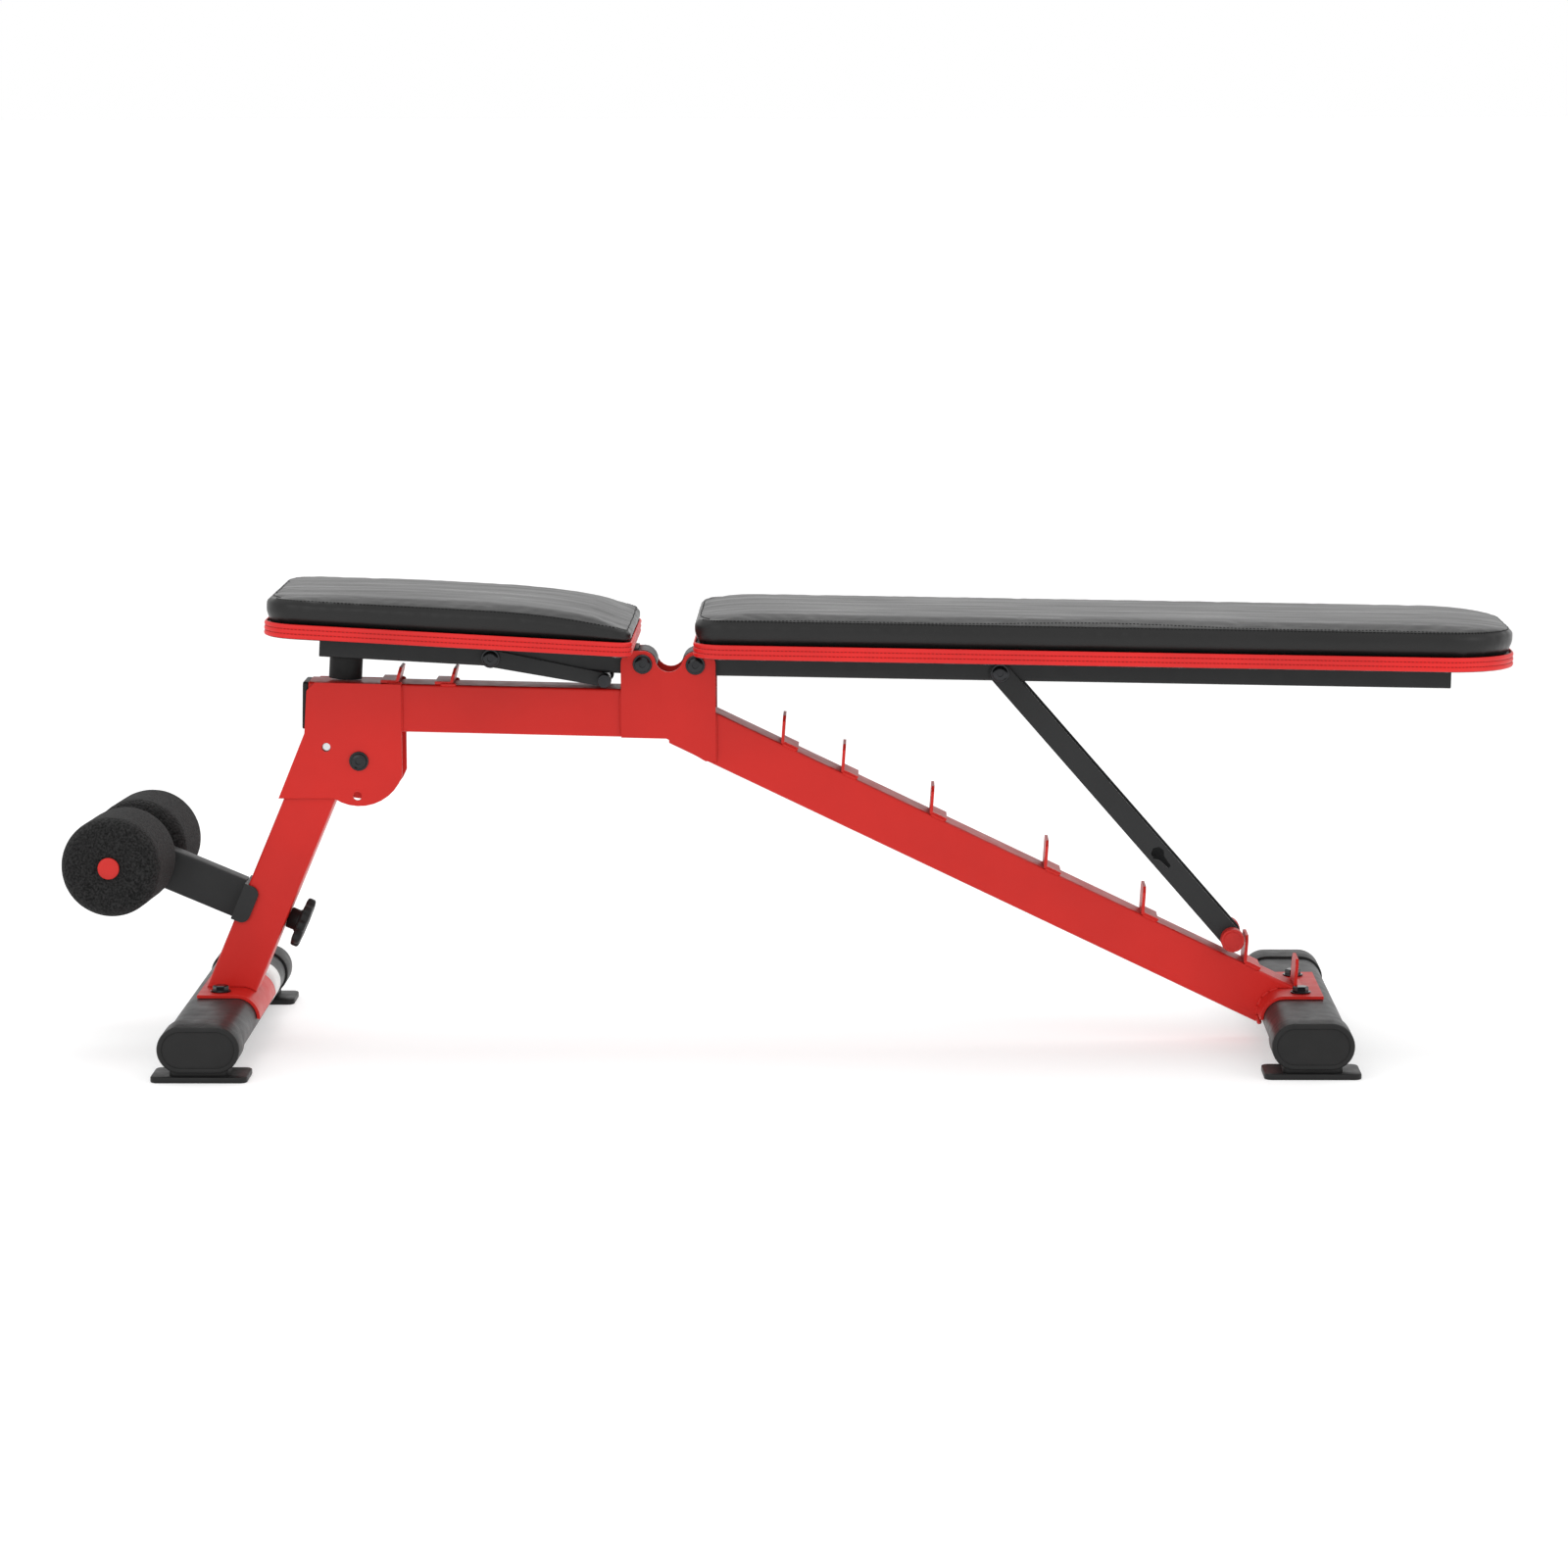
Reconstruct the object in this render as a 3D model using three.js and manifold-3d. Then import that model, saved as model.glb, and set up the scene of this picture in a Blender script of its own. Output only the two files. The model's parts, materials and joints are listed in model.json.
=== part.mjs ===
// A folding, adjustable sit-up bench: a welded two-beam frame, a folding front leg with a foam foot
// hold, and a seat and a back rest that each tilt on a hinge and stand on a prop.
// Millimetres. +X runs from the foot hold to the head end, +Y to the far side, +Z up.
// The origin is on the floor, under the middle of the bench.
import * as THREE from "three";
import { mergeVertices } from "three/addons/utils/BufferGeometryUtils.js";
import Module from "manifold-3d";

const wasm = await Module();
wasm.setup();

// ---- driving dimensions ----
const GAP = 0.3; // left between pieces that touch
const TUBE = 45; // square frame tube
const TUBE_WALL = 2;
const TUBE_CORNER = 3;
const PLATE = 3; // sheet thickness of gussets, brackets and saddles
const PLATE_Y = TUBE / 2 + 0.4; // inner face of the plates on each side of the frame

const BEAM_TILT = 1.35; // degrees, front end higher
const BEAM_FRONT_X = -446.5;
const BEAM_BOTTOM_Z = 292.1; // at BEAM_BOTTOM_X
const BEAM_BOTTOM_X = -300;
const MITRE_X = -110.6; // where the main beam meets the sloping rear beam
const REAR_SLOPE = 25.6; // degrees, down towards the head end

const SEAT_HINGE = { x: -134.7, z: 357.4 };
const BACK_HINGE = { x: -85.7, z: 356.5 };
const LEG_PIVOT = { x: -399, z: 266.7 };
const LEG_LEAN = 22.85; // degrees from upright
const LEG_OFFSET = 29; // leg centre line in front of its pivot
const LOCK_RADIUS = 33; // lock holes about the leg pivot
const LEG_FOLD = 109.5; // degrees from the open to the folded position

const FRONT_FOOT = { x: -528.8, length: 440 };
const REAR_FOOT = { x: 476, length: 396 };
const FOOT_Z = 30.2; // centre of the oval foot tubes
const FOOT_TUBE = { width: 70.5, height: 38 };
const FOOT_CAP = { width: 75, height: 42.6, depth: 42 };
const FOOT_PLATE = { width: 88, depth: 50, height: 6 };
const SADDLE_LENGTH = 130;
const SADDLE_BOLT_Y = 46;

const BOLT_RADIUS = 5;
const BOLT_HOLE = BOLT_RADIUS + GAP;
const BOLT_HEAD = { radius: 9, height: 4.5 };

const CUSHION_TUBE = { width: 40, height: 25, wall: 2 };
const CUSHION_TUBE_BOTTOM = -10.6; // from the hinge, across the tube
const BOARD = { bottom: 14.7, height: 11.6 };
const TRIM = { bottom: 15.4, height: 13, thickness: 2.5 };
// Heights above the trim's lower edge, and the steps of the crown's rise from side to top.
const CUSHION = {
  side: 36.5,
  softening: 3,
  crown: 7,
  crownWidth: 78,
  rise: [[0.04, 0.22], [0.3, 0.7], [1, 1]],
};
const CUSHION_WIDTH = 220;
const SEAT = { tilt: 3.2, front: -346, rear: -7.5, frontCorner: 32, rearCorner: 14, tubeFront: -300.7 };
const BACK = { tilt: 1, front: -0.5, rear: 753.5, frontCorner: 28, rearCorner: 70, tubeRear: 699.8 };
const BUMPER = { x: -277, radius: 15.5, height: 20.4 };

const PROP_CHEEK = { inner: 20.6, thickness: 2.5 };
const BACK_PROP = { x: 196.5, z: 348.5, length: 330, angle: 48.92, halfWidth: 10, webFrom: 42 };
const SEAT_PROP = { x: -275.8, z: 362.4, length: 107.7, angle: 10.8, webFrom: 42 };

const ARM = { drop: 166.3, height: 38, width: 22, axleX: -164.6, wall: 1.5 };
const AXLE_SKEW = 3; // degrees, the foot hold's axle stands a little askew
const AXLE = { radius: 8, halfLength: 117.4 };
const ROLLER = { radius: 46, inner: 18, outer: 117, edge: 11 };
const KNOB = { bossRadius: 10, bossLength: 10, radius: 24, thickness: 8.6, lobes: 8, stud: 4.5 };

const BACK_CATCH_X = [-5.1, 50.7, 133, 239.4, 330.3, 426.1, 473.1];
const BACK_CATCH = { height: 26, lean: 4, base: 15, thickness: 2.8, width: 44 };
const SEAT_CATCH_X = [-363.3, -312.9];
const SEAT_CATCH = { height: 15, lean: 14, base: 15, thickness: 2.8, width: 44 };

// ---- materials ----
function finish(color, roughness, metalness) {
  return new THREE.MeshStandardMaterial({ color, roughness, metalness });
}
const redPaint = finish(0xc4302b, 0.45, 0.1);
const blackPaint = finish(0x2b2c2e, 0.5, 0.1);
const blackPlastic = finish(0x1f2021, 0.55, 0);
const redPlastic = finish(0xd63a35, 0.5, 0);
const blackVinyl = finish(0x2a2a2b, 0.45, 0);
const redVinyl = finish(0xd9322c, 0.45, 0);
const blackFoam = finish(0x262627, 0.95, 0);
const blackRubber = finish(0x202021, 0.7, 0);
const blackSteel = finish(0x17181a, 0.35, 0.8);
const brightSteel = finish(0xb9bcc0, 0.25, 1);

// ---- geometry helpers ----
const radians = THREE.MathUtils.degToRad;
const tan = (degrees) => Math.tan(radians(degrees));
const cos = (degrees) => Math.cos(radians(degrees));

function toSolid(geometry) {
  const bare = geometry.clone();
  bare.deleteAttribute("normal");
  bare.deleteAttribute("uv");
  const merged = mergeVertices(bare, 1e-4);
  return new wasm.Manifold(
    new wasm.Mesh({
      numProp: 3,
      vertProperties: merged.attributes.position.array,
      triVerts: new Uint32Array(merged.index.array),
    }),
  );
}

function toGeometry(solid) {
  const mesh = solid.getMesh();
  const geometry = new THREE.BufferGeometry();
  geometry.setAttribute("position", new THREE.BufferAttribute(mesh.vertProperties, 3));
  geometry.setIndex(new THREE.BufferAttribute(mesh.triVerts, 1));
  return geometry;
}

function cut(geometry, ...tools) {
  let solid = toSolid(geometry);
  for (const tool of tools) solid = solid.subtract(toSolid(tool));
  return toGeometry(solid);
}

function join(...pieces) {
  let solid = toSolid(pieces[0]);
  for (const piece of pieces.slice(1)) solid = solid.add(toSolid(piece));
  return toGeometry(solid);
}

function piece(group, name, geometry, material) {
  const flat = geometry.index ? geometry.toNonIndexed() : geometry;
  flat.computeVertexNormals();
  const mesh = new THREE.Mesh(flat, material.clone());
  mesh.name = name;
  group.add(mesh);
  return mesh;
}

// A group whose origin is at (x, z) in the bench's middle plane, turned about Y.
// A positive turn drops its +X end.
function frameAt(parent, place, turn) {
  const group = new THREE.Group();
  group.position.set(place.x, 0, place.z);
  group.rotation.y = radians(turn);
  parent.add(group);
  group.updateWorldMatrix(true, false);
  return group;
}

function intoFrame(geometry, group) {
  return geometry.applyMatrix4(group.matrixWorld.clone().invert());
}

function polygon(points) {
  return new THREE.Shape(points.map(([x, y]) => new THREE.Vector2(x, y)));
}

function circle(x, y, radius) {
  return new THREE.Path().absarc(x, y, radius, 0, 2 * Math.PI, true);
}

function roundedRectangle(width, height, radius, Kind = THREE.Shape) {
  const shape = new Kind();
  const right = width / 2 - radius;
  const top = height / 2 - radius;
  shape.absarc(right, top, radius, 0, Math.PI / 2);
  shape.absarc(-right, top, radius, Math.PI / 2, Math.PI);
  shape.absarc(-right, -top, radius, Math.PI, 1.5 * Math.PI);
  shape.absarc(right, -top, radius, 1.5 * Math.PI, 2 * Math.PI);
  shape.closePath();
  return shape;
}

function extrude(shape, depth, curveSegments) {
  return new THREE.ExtrudeGeometry(shape, { depth, curveSegments, bevelEnabled: false });
}

// The shape's x and y become X and Z, and it fills lowY to highY.
function acrossY(shape, lowY, highY, curveSegments = 4) {
  return extrude(shape, highY - lowY, curveSegments).rotateX(Math.PI / 2).translate(0, highY, 0);
}

// The shape's x and y become Y and Z, and it fills lowX to highX.
function alongX(shape, lowX, highX, curveSegments = 1) {
  const turn = new THREE.Matrix4().makeBasis(
    new THREE.Vector3(0, 1, 0),
    new THREE.Vector3(0, 0, 1),
    new THREE.Vector3(1, 0, 0),
  );
  return extrude(shape, highX - lowX, curveSegments).applyMatrix4(turn).translate(lowX, 0, 0);
}

function box(low, high) {
  const size = high.map((value, axis) => value - low[axis]);
  const middle = high.map((value, axis) => (value + low[axis]) / 2);
  return new THREE.BoxGeometry(...size).translate(...middle);
}

function tubeShape(width, height, wall, radius) {
  const shape = roundedRectangle(width, height, radius);
  shape.holes.push(roundedRectangle(width - 2 * wall, height - 2 * wall, radius - wall / 2, THREE.Path));
  return shape;
}

// A round bar along Y from a list of [radius, y] steps, bottom to top.
function turnedAlongY(steps, segments = 12) {
  const points = [[0, steps[0][1]], ...steps, [0, steps.at(-1)[1]]];
  return new THREE.LatheGeometry(points.map(([r, y]) => new THREE.Vector2(r, y)), segments);
}

function rod(x, z, radius, halfLength, segments = 20) {
  return turnedAlongY([[radius, -halfLength], [radius, halfLength]], segments).translate(x, 0, z);
}

// A bolt along Y with a head at -Y and a nut at +Y, whose inner faces are at +-halfGrip.
function crossBolt(halfGrip, radius = BOLT_RADIUS, head = BOLT_HEAD) {
  const end = halfGrip + head.height;
  return turnedAlongY([
    [head.radius - 1.2, -end],
    [head.radius, -end + 1.2],
    [head.radius, -halfGrip],
    [radius, -halfGrip],
    [radius, halfGrip],
    [head.radius, halfGrip],
    [head.radius, end - 1.2],
    [head.radius - 1.2, end],
  ]);
}

// A sleeve about Y with a hole for a bolt.
function sleeve(radius, halfLength) {
  const shape = new THREE.Shape().absarc(0, 0, radius, 0, 2 * Math.PI);
  shape.holes.push(circle(0, 0, BOLT_HOLE));
  return acrossY(shape, -halfLength, halfLength, 10);
}

const bench = new THREE.Group();

// ---- frame: lines that several pieces share ----
function beamBottom(x) {
  return BEAM_BOTTOM_Z - (x - BEAM_BOTTOM_X) * tan(BEAM_TILT);
}
function beamTop(x) {
  return beamBottom(x) + TUBE / cos(BEAM_TILT);
}
// The rear beam's top meets the main beam's top at the mitre.
function rearTop(x) {
  return beamTop(MITRE_X) - (x - MITRE_X) * tan(REAR_SLOPE);
}
function rearBottom(x) {
  return rearTop(x) - TUBE / cos(REAR_SLOPE);
}

const OVAL_STEPS = 5; // flats in a quarter turn of the oval sections

// An oval (stadium) about a foot's centre, as the section of tube, saddle and cap.
function oval(width, height, Kind = THREE.Shape) {
  return roundedRectangle(width, height, height / 2 - 0.01, Kind);
}
function ovalBlock(foot, margin, halfLength) {
  const shape = oval(FOOT_TUBE.width + 2 * margin, FOOT_TUBE.height + 2 * margin);
  return acrossY(shape, -halfLength, halfLength, OVAL_STEPS).translate(foot.x, 0, FOOT_Z);
}
const SADDLE_TOP = GAP + PLATE + GAP; // clearance from foot tube to what stands on the saddle

function makeBeams() {
  const section = tubeShape(TUBE, TUBE, TUBE_WALL, TUBE_CORNER);
  const reach = 60;

  const mainLength = (MITRE_X - BEAM_FRONT_X + reach) / cos(BEAM_TILT);
  const main = alongX(section, 0, mainLength)
    .translate(0, 0, TUBE / 2)
    .rotateY(radians(BEAM_TILT))
    .translate(BEAM_FRONT_X, 0, beamBottom(BEAM_FRONT_X));
  const pastMitre = box([MITRE_X - GAP, -TUBE, 200], [MITRE_X + 2 * reach, TUBE, 400]);
  piece(bench, "main_beam", cut(main, pastMitre), redPaint);

  const startX = MITRE_X - reach;
  const rear = alongX(section, 0, (REAR_FOOT.x + reach - startX) / cos(REAR_SLOPE))
    .translate(0, 0, TUBE / 2)
    .rotateY(radians(REAR_SLOPE))
    .translate(startX, 0, rearBottom(startX));
  const beforeMitre = box([startX - reach, -TUBE, 200], [MITRE_X, TUBE, 500]);
  const saddleLeft = REAR_FOOT.x - FOOT_TUBE.width / 2 - PLATE;
  const underSaddle = box([saddleLeft - 1, -TUBE, -100], [saddleLeft + 200, TUBE, FOOT_Z]);
  const pastSaddle = box([REAR_FOOT.x, -TUBE, -100], [REAR_FOOT.x + 200, TUBE, 100]);
  const footClearance = ovalBlock(REAR_FOOT, SADDLE_TOP, TUBE);
  const rearCut = cut(rear, beforeMitre, footClearance, underSaddle, pastSaddle);
  piece(bench, "rear_beam", rearCut, redPaint);

  const plug = roundedRectangle(TUBE - 1, TUBE - 1, TUBE_CORNER);
  const spigot = roundedRectangle(TUBE - 2 * TUBE_WALL - 1, TUBE - 2 * TUBE_WALL - 1, TUBE_CORNER);
  const endPlug = join(alongX(plug, -5, 0), alongX(spigot, -1, 14))
    .translate(-GAP, 0, TUBE / 2)
    .rotateY(radians(BEAM_TILT))
    .translate(BEAM_FRONT_X, 0, beamBottom(BEAM_FRONT_X));
  piece(bench, "main_beam_end_plug", endPlug, blackPlastic);
}

// The plate that carries both cushion hinges: two ears with a round dip between them.
function gussetShape() {
  const ear = 12.3;
  const left = SEAT_HINGE.x - 20;
  const right = BACK_HINGE.x + 18.7;
  const dipDepth = 7;
  const half = (BACK_HINGE.x - SEAT_HINGE.x) / 2;
  const dipRadius = (half ** 2 + dipDepth ** 2 - ear ** 2) / (2 * (ear + dipDepth));
  const dip = { x: SEAT_HINGE.x + half, z: (SEAT_HINGE.z + BACK_HINGE.z) / 2 - dipDepth + dipRadius };
  const toDip = (from) => Math.atan2(dip.z - from.z, dip.x - from.x);
  const shoulder = 8; // from each bolt out to the corner's centre
  const shape = new THREE.Shape();
  shape.moveTo(left, beamBottom(left));
  shape.lineTo(SEAT_HINGE.x + 22, beamBottom(SEAT_HINGE.x + 22));
  shape.lineTo(BACK_HINGE.x + 9, rearBottom(BACK_HINGE.x + 9));
  shape.lineTo(right, rearBottom(BACK_HINGE.x + 9));
  shape.absarc(right - ear, BACK_HINGE.z, ear, 0, Math.PI / 2);
  shape.absarc(BACK_HINGE.x, BACK_HINGE.z, ear, Math.PI / 2, toDip(BACK_HINGE));
  shape.absarc(dip.x, dip.z, dipRadius, toDip(BACK_HINGE) - Math.PI, toDip(SEAT_HINGE) - Math.PI, true);
  shape.absarc(SEAT_HINGE.x, SEAT_HINGE.z, ear, toDip(SEAT_HINGE), Math.PI / 2);
  shape.absarc(SEAT_HINGE.x - shoulder, SEAT_HINGE.z, ear, Math.PI / 2, Math.PI);
  shape.closePath();
  for (const hinge of [SEAT_HINGE, BACK_HINGE]) shape.holes.push(circle(hinge.x, hinge.z, BOLT_HOLE));
  return shape;
}

// The bracket plate that the front leg folds in, round about the leg pivot.
function foldPlateShape() {
  const left = BEAM_FRONT_X - 0.5;
  const right = -358.9;
  const radius = 42.5;
  const rightAngle = Math.acos((right - LEG_PIVOT.x) / radius);
  const chamfer = 8;
  const shape = new THREE.Shape();
  shape.moveTo(left + chamfer, beamTop(left + chamfer));
  shape.lineTo(left, beamTop(left) - chamfer);
  shape.lineTo(left - 2.6, beamBottom(left) - 3);
  shape.lineTo(left - 27.6, 231.4);
  shape.absarc(LEG_PIVOT.x, LEG_PIVOT.z, radius, 1.31 * Math.PI, 2 * Math.PI - rightAngle);
  shape.lineTo(right, beamTop(right));
  shape.closePath();
  const lockAngle = radians(180 - LEG_LEAN);
  for (const angle of [lockAngle, lockAngle + radians(LEG_FOLD)]) {
    const x = LEG_PIVOT.x + LOCK_RADIUS * Math.cos(angle);
    const z = LEG_PIVOT.z + LOCK_RADIUS * Math.sin(angle);
    shape.holes.push(circle(x, z, 4.2));
  }
  shape.holes.push(circle(LEG_PIVOT.x, LEG_PIVOT.z, BOLT_HOLE));
  return shape;
}

function makePlatePair(name, shape) {
  for (const [side, sign] of [["near", -1], ["far", 1]]) {
    const faces = [sign * PLATE_Y, sign * (PLATE_Y + PLATE)].sort((a, b) => a - b);
    piece(bench, name + "_" + side, acrossY(shape, faces[0], faces[1], 5), redPaint);
  }
}

// A bent strip: a base welded on the tube and a blade with clipped corners that catches the prop.
function catchGeometry({ height, lean, base, thickness, width }, side, slope) {
  const clip = 5;
  const half = width / 2;
  const outline = polygon([
    [-half, -1],
    [half, -1],
    [half, height - clip],
    [half - clip, height],
    [clip - half, height],
    [-half, height - clip],
  ]);
  const blade = alongX(outline, -thickness / 2, thickness / 2).rotateY(radians(lean));
  const low = Math.min(0, side * base);
  const foot = box([low, -half, 0], [low + base, half, thickness]).rotateY(radians(slope));
  const below = box([-30, -half - 1, -30], [30, half + 1, 0]).rotateY(radians(slope));
  return cut(join(blade, foot), below);
}

function makeCatches() {
  BACK_CATCH_X.forEach((x, i) => {
    const shape = catchGeometry(BACK_CATCH, 1, REAR_SLOPE).translate(x, 0, rearTop(x) + GAP);
    piece(bench, "back_catch_" + (i + 1), cut(shape, ovalBlock(REAR_FOOT, SADDLE_TOP, TUBE)), redPaint);
  });
  SEAT_CATCH_X.forEach((x, i) => {
    const shape = catchGeometry(SEAT_CATCH, -1, BEAM_TILT).translate(x, 0, beamTop(x) + GAP);
    piece(bench, "seat_catch_" + (i + 1), shape, redPaint);
  });
}

// ---- feet ----
// The saddle lies on the flat top of the foot tube and wraps one round side; side is +1 or -1.
function saddleGeometry(foot, side) {
  const radius = FOOT_TUBE.height / 2 + GAP;
  const reach = FOOT_TUBE.width / 2 - FOOT_TUBE.height / 2;
  const flatEnd = -20;
  const shape = new THREE.Shape();
  shape.moveTo(flatEnd, radius);
  shape.lineTo(reach, radius);
  shape.absarc(reach, 0, radius, Math.PI / 2, 0, true);
  shape.absarc(reach, 0, radius + PLATE, 0, Math.PI / 2);
  shape.lineTo(flatEnd, radius + PLATE);
  shape.closePath();
  const half = SADDLE_LENGTH / 2;
  const strip = acrossY(shape, -half, half, OVAL_STEPS);
  if (side < 0) strip.rotateZ(Math.PI);
  strip.translate(foot.x, 0, FOOT_Z);
  const holes = [-1, 1].map((sign) => saddleBoltHole(foot, sign));
  return cut(strip, ...holes);
}

function saddleBoltHole(foot, sign) {
  return new THREE.CylinderGeometry(BOLT_HOLE, BOLT_HOLE, 40, 10)
    .rotateX(Math.PI / 2)
    .translate(foot.x, sign * SADDLE_BOLT_Y, FOOT_Z + FOOT_TUBE.height / 2);
}

function footTubeGeometry(foot) {
  const shape = oval(FOOT_TUBE.width, FOOT_TUBE.height);
  shape.holes.push(oval(FOOT_TUBE.width - 4, FOOT_TUBE.height - 4, THREE.Path));
  const half = foot.length / 2 - 4;
  const tube = acrossY(shape, -half, half, OVAL_STEPS).translate(foot.x, 0, FOOT_Z);
  const inside = box(
    [foot.x - 10, -SADDLE_BOLT_Y - 10, FOOT_Z],
    [foot.x + 10, SADDLE_BOLT_Y + 10, FOOT_Z + 8],
  );
  const holes = [-1, 1].map((sign) => saddleBoltHole(foot, sign));
  return cut(tube, ...holes, inside);
}

// A moulded end cap: an oval cup over the tube's end, on a flat pad that stands on the floor.
function footCapGeometry(foot, sign) {
  const outer = oval(FOOT_CAP.width, FOOT_CAP.height);
  const cup = acrossY(outer, 0, FOOT_CAP.depth, OVAL_STEPS);
  const bore = acrossY(oval(FOOT_TUBE.width + 2 * GAP, FOOT_TUBE.height + 2 * GAP), 3.5, 60, OVAL_STEPS);
  const panel = acrossY(oval(FOOT_CAP.width - 9, FOOT_CAP.height - 9), -1, 1, OVAL_STEPS);
  const neck = box([-26, 3, -FOOT_Z + 3], [26, FOOT_CAP.depth - 3, -FOOT_CAP.height / 2 + 1.2]);
  const pad = extrude(roundedRectangle(FOOT_PLATE.width, FOOT_PLATE.depth, 6), FOOT_PLATE.height, 3)
    .translate(0, FOOT_PLATE.depth / 2, -FOOT_Z);
  const cap = cut(join(cut(cup, bore), neck, pad), panel, bore.clone());
  if (sign > 0) cap.rotateZ(Math.PI);
  return cap.translate(foot.x, (sign * foot.length) / 2, FOOT_Z);
}

function saddleBolt(foot, sign) {
  const top = FOOT_Z + FOOT_TUBE.height / 2 + GAP + PLATE + GAP;
  const head = new THREE.CylinderGeometry(7.5, 7.5, 6, 6).translate(0, 3, 0);
  const washer = new THREE.CylinderGeometry(9.5, 9.5, 1.4, 12).translate(0, 0.7, 0);
  const shank = new THREE.CylinderGeometry(BOLT_RADIUS, BOLT_RADIUS, 18, 8).translate(0, -8.5, 0);
  return join(head, washer, shank).rotateX(Math.PI / 2).translate(foot.x, sign * SADDLE_BOLT_Y, top);
}

function makeFoot(name, foot, side) {
  piece(bench, name + "_saddle", saddleGeometry(foot, side), redPaint);
  piece(bench, name + "_foot_tube", footTubeGeometry(foot), blackPaint);
  for (const [label, sign] of [["near", -1], ["far", 1]]) {
    piece(bench, name + "_foot_cap_" + label, footCapGeometry(foot, sign), blackPlastic);
    piece(bench, name + "_saddle_bolt_" + label, saddleBolt(foot, sign), blackSteel);
  }
}

function makeHingeBolts() {
  const grip = PLATE_Y + PLATE + GAP;
  for (const [name, at] of [
    ["seat_hinge_bolt", SEAT_HINGE],
    ["back_hinge_bolt", BACK_HINGE],
    ["leg_pivot_bolt", LEG_PIVOT],
  ]) {
    piece(bench, name, crossBolt(grip).translate(at.x, 0, at.z), blackSteel);
  }
}

// ---- front leg and foot hold, in a frame at the leg pivot with -Z down the leg ----
function makeLeg() {
  const leg = frameAt(bench, LEG_PIVOT, LEG_LEAN);
  const half = TUBE / 2;
  const section = tubeShape(TUBE, TUBE, TUBE_WALL, TUBE_CORNER);
  const tube = extrude(section, 330, 1).translate(-LEG_OFFSET, 0, -290);
  const aboveX = LEG_PIVOT.x;
  const above = box([-250, -TUBE, 0], [250, TUBE, 120])
    .rotateY(radians(BEAM_TILT))
    .translate(aboveX, 0, beamBottom(aboveX) - 3);
  const below = box([-200, -TUBE, -200], [200, TUBE, FOOT_Z]).translate(FRONT_FOOT.x, 0, 0);
  const legTube = cut(
    tube,
    intoFrame(above, leg),
    intoFrame(below, leg),
    intoFrame(ovalBlock(FRONT_FOOT, SADDLE_TOP, TUBE), leg),
    rod(0, 0, 12 + GAP, TUBE),
    rod(-LOCK_RADIUS, 0, 4 + GAP, TUBE),
    studHole(-LEG_OFFSET, half + 5),
  );
  piece(leg, "front_leg_tube", legTube, redPaint);
  piece(leg, "front_leg_pivot_sleeve", sleeve(12, half - 0.5), redPaint);
  piece(leg, "leg_lock_pin", rod(-LOCK_RADIUS, 0, 4, half - 0.4), brightSteel);

  const hold = new THREE.Group();
  hold.position.z = -ARM.drop;
  leg.add(hold);
  makeArm(hold);
  makeRollers(hold);
  makeKnob(hold);
}

// A hole along the leg frame's X for the clamp knob's stud.
function studHole(middleX, halfLength) {
  const radius = KNOB.stud + GAP;
  return new THREE.CylinderGeometry(radius, radius, 2 * halfLength, 16)
    .rotateZ(Math.PI / 2)
    .translate(middleX, 0, -ARM.drop);
}

function makeArm(hold) {
  const legFace = -LEG_OFFSET - TUBE / 2;
  const webFace = legFace - GAP - PLATE;
  const earReach = 12.5;
  const ear = new THREE.Shape();
  ear.moveTo(webFace, -18);
  ear.lineTo(webFace, 18);
  ear.absarc(legFace + earReach - 8, 10, 8, Math.PI / 2, 0, true);
  ear.absarc(legFace + earReach - 8, -10, 8, 0, -Math.PI / 2, true);
  ear.closePath();
  const outer = PLATE_Y + PLATE;
  const block = acrossY(ear, -outer, outer, 5);
  const slot = box([legFace - GAP, -PLATE_Y, -40], [legFace + 40, PLATE_Y, 40]);
  const hole = studHole(legFace, 12).translate(0, 0, ARM.drop);
  piece(hold, "foot_hold_bracket", cut(block, slot, hole), blackPaint);

  const section = tubeShape(ARM.width, ARM.height, ARM.wall, 3);
  const endX = ARM.axleX - 14;
  const arm = alongX(section, endX, webFace - GAP);
  piece(hold, "foot_hold_arm", cut(arm, axleFrame(rod(0, 0, AXLE.radius + GAP, 40))), blackPaint);
}

// Turns a piece made about Y on to the skewed axle.
function axleFrame(geometry) {
  return geometry.rotateZ(radians(-AXLE_SKEW)).translate(ARM.axleX, 0, 0);
}

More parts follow.
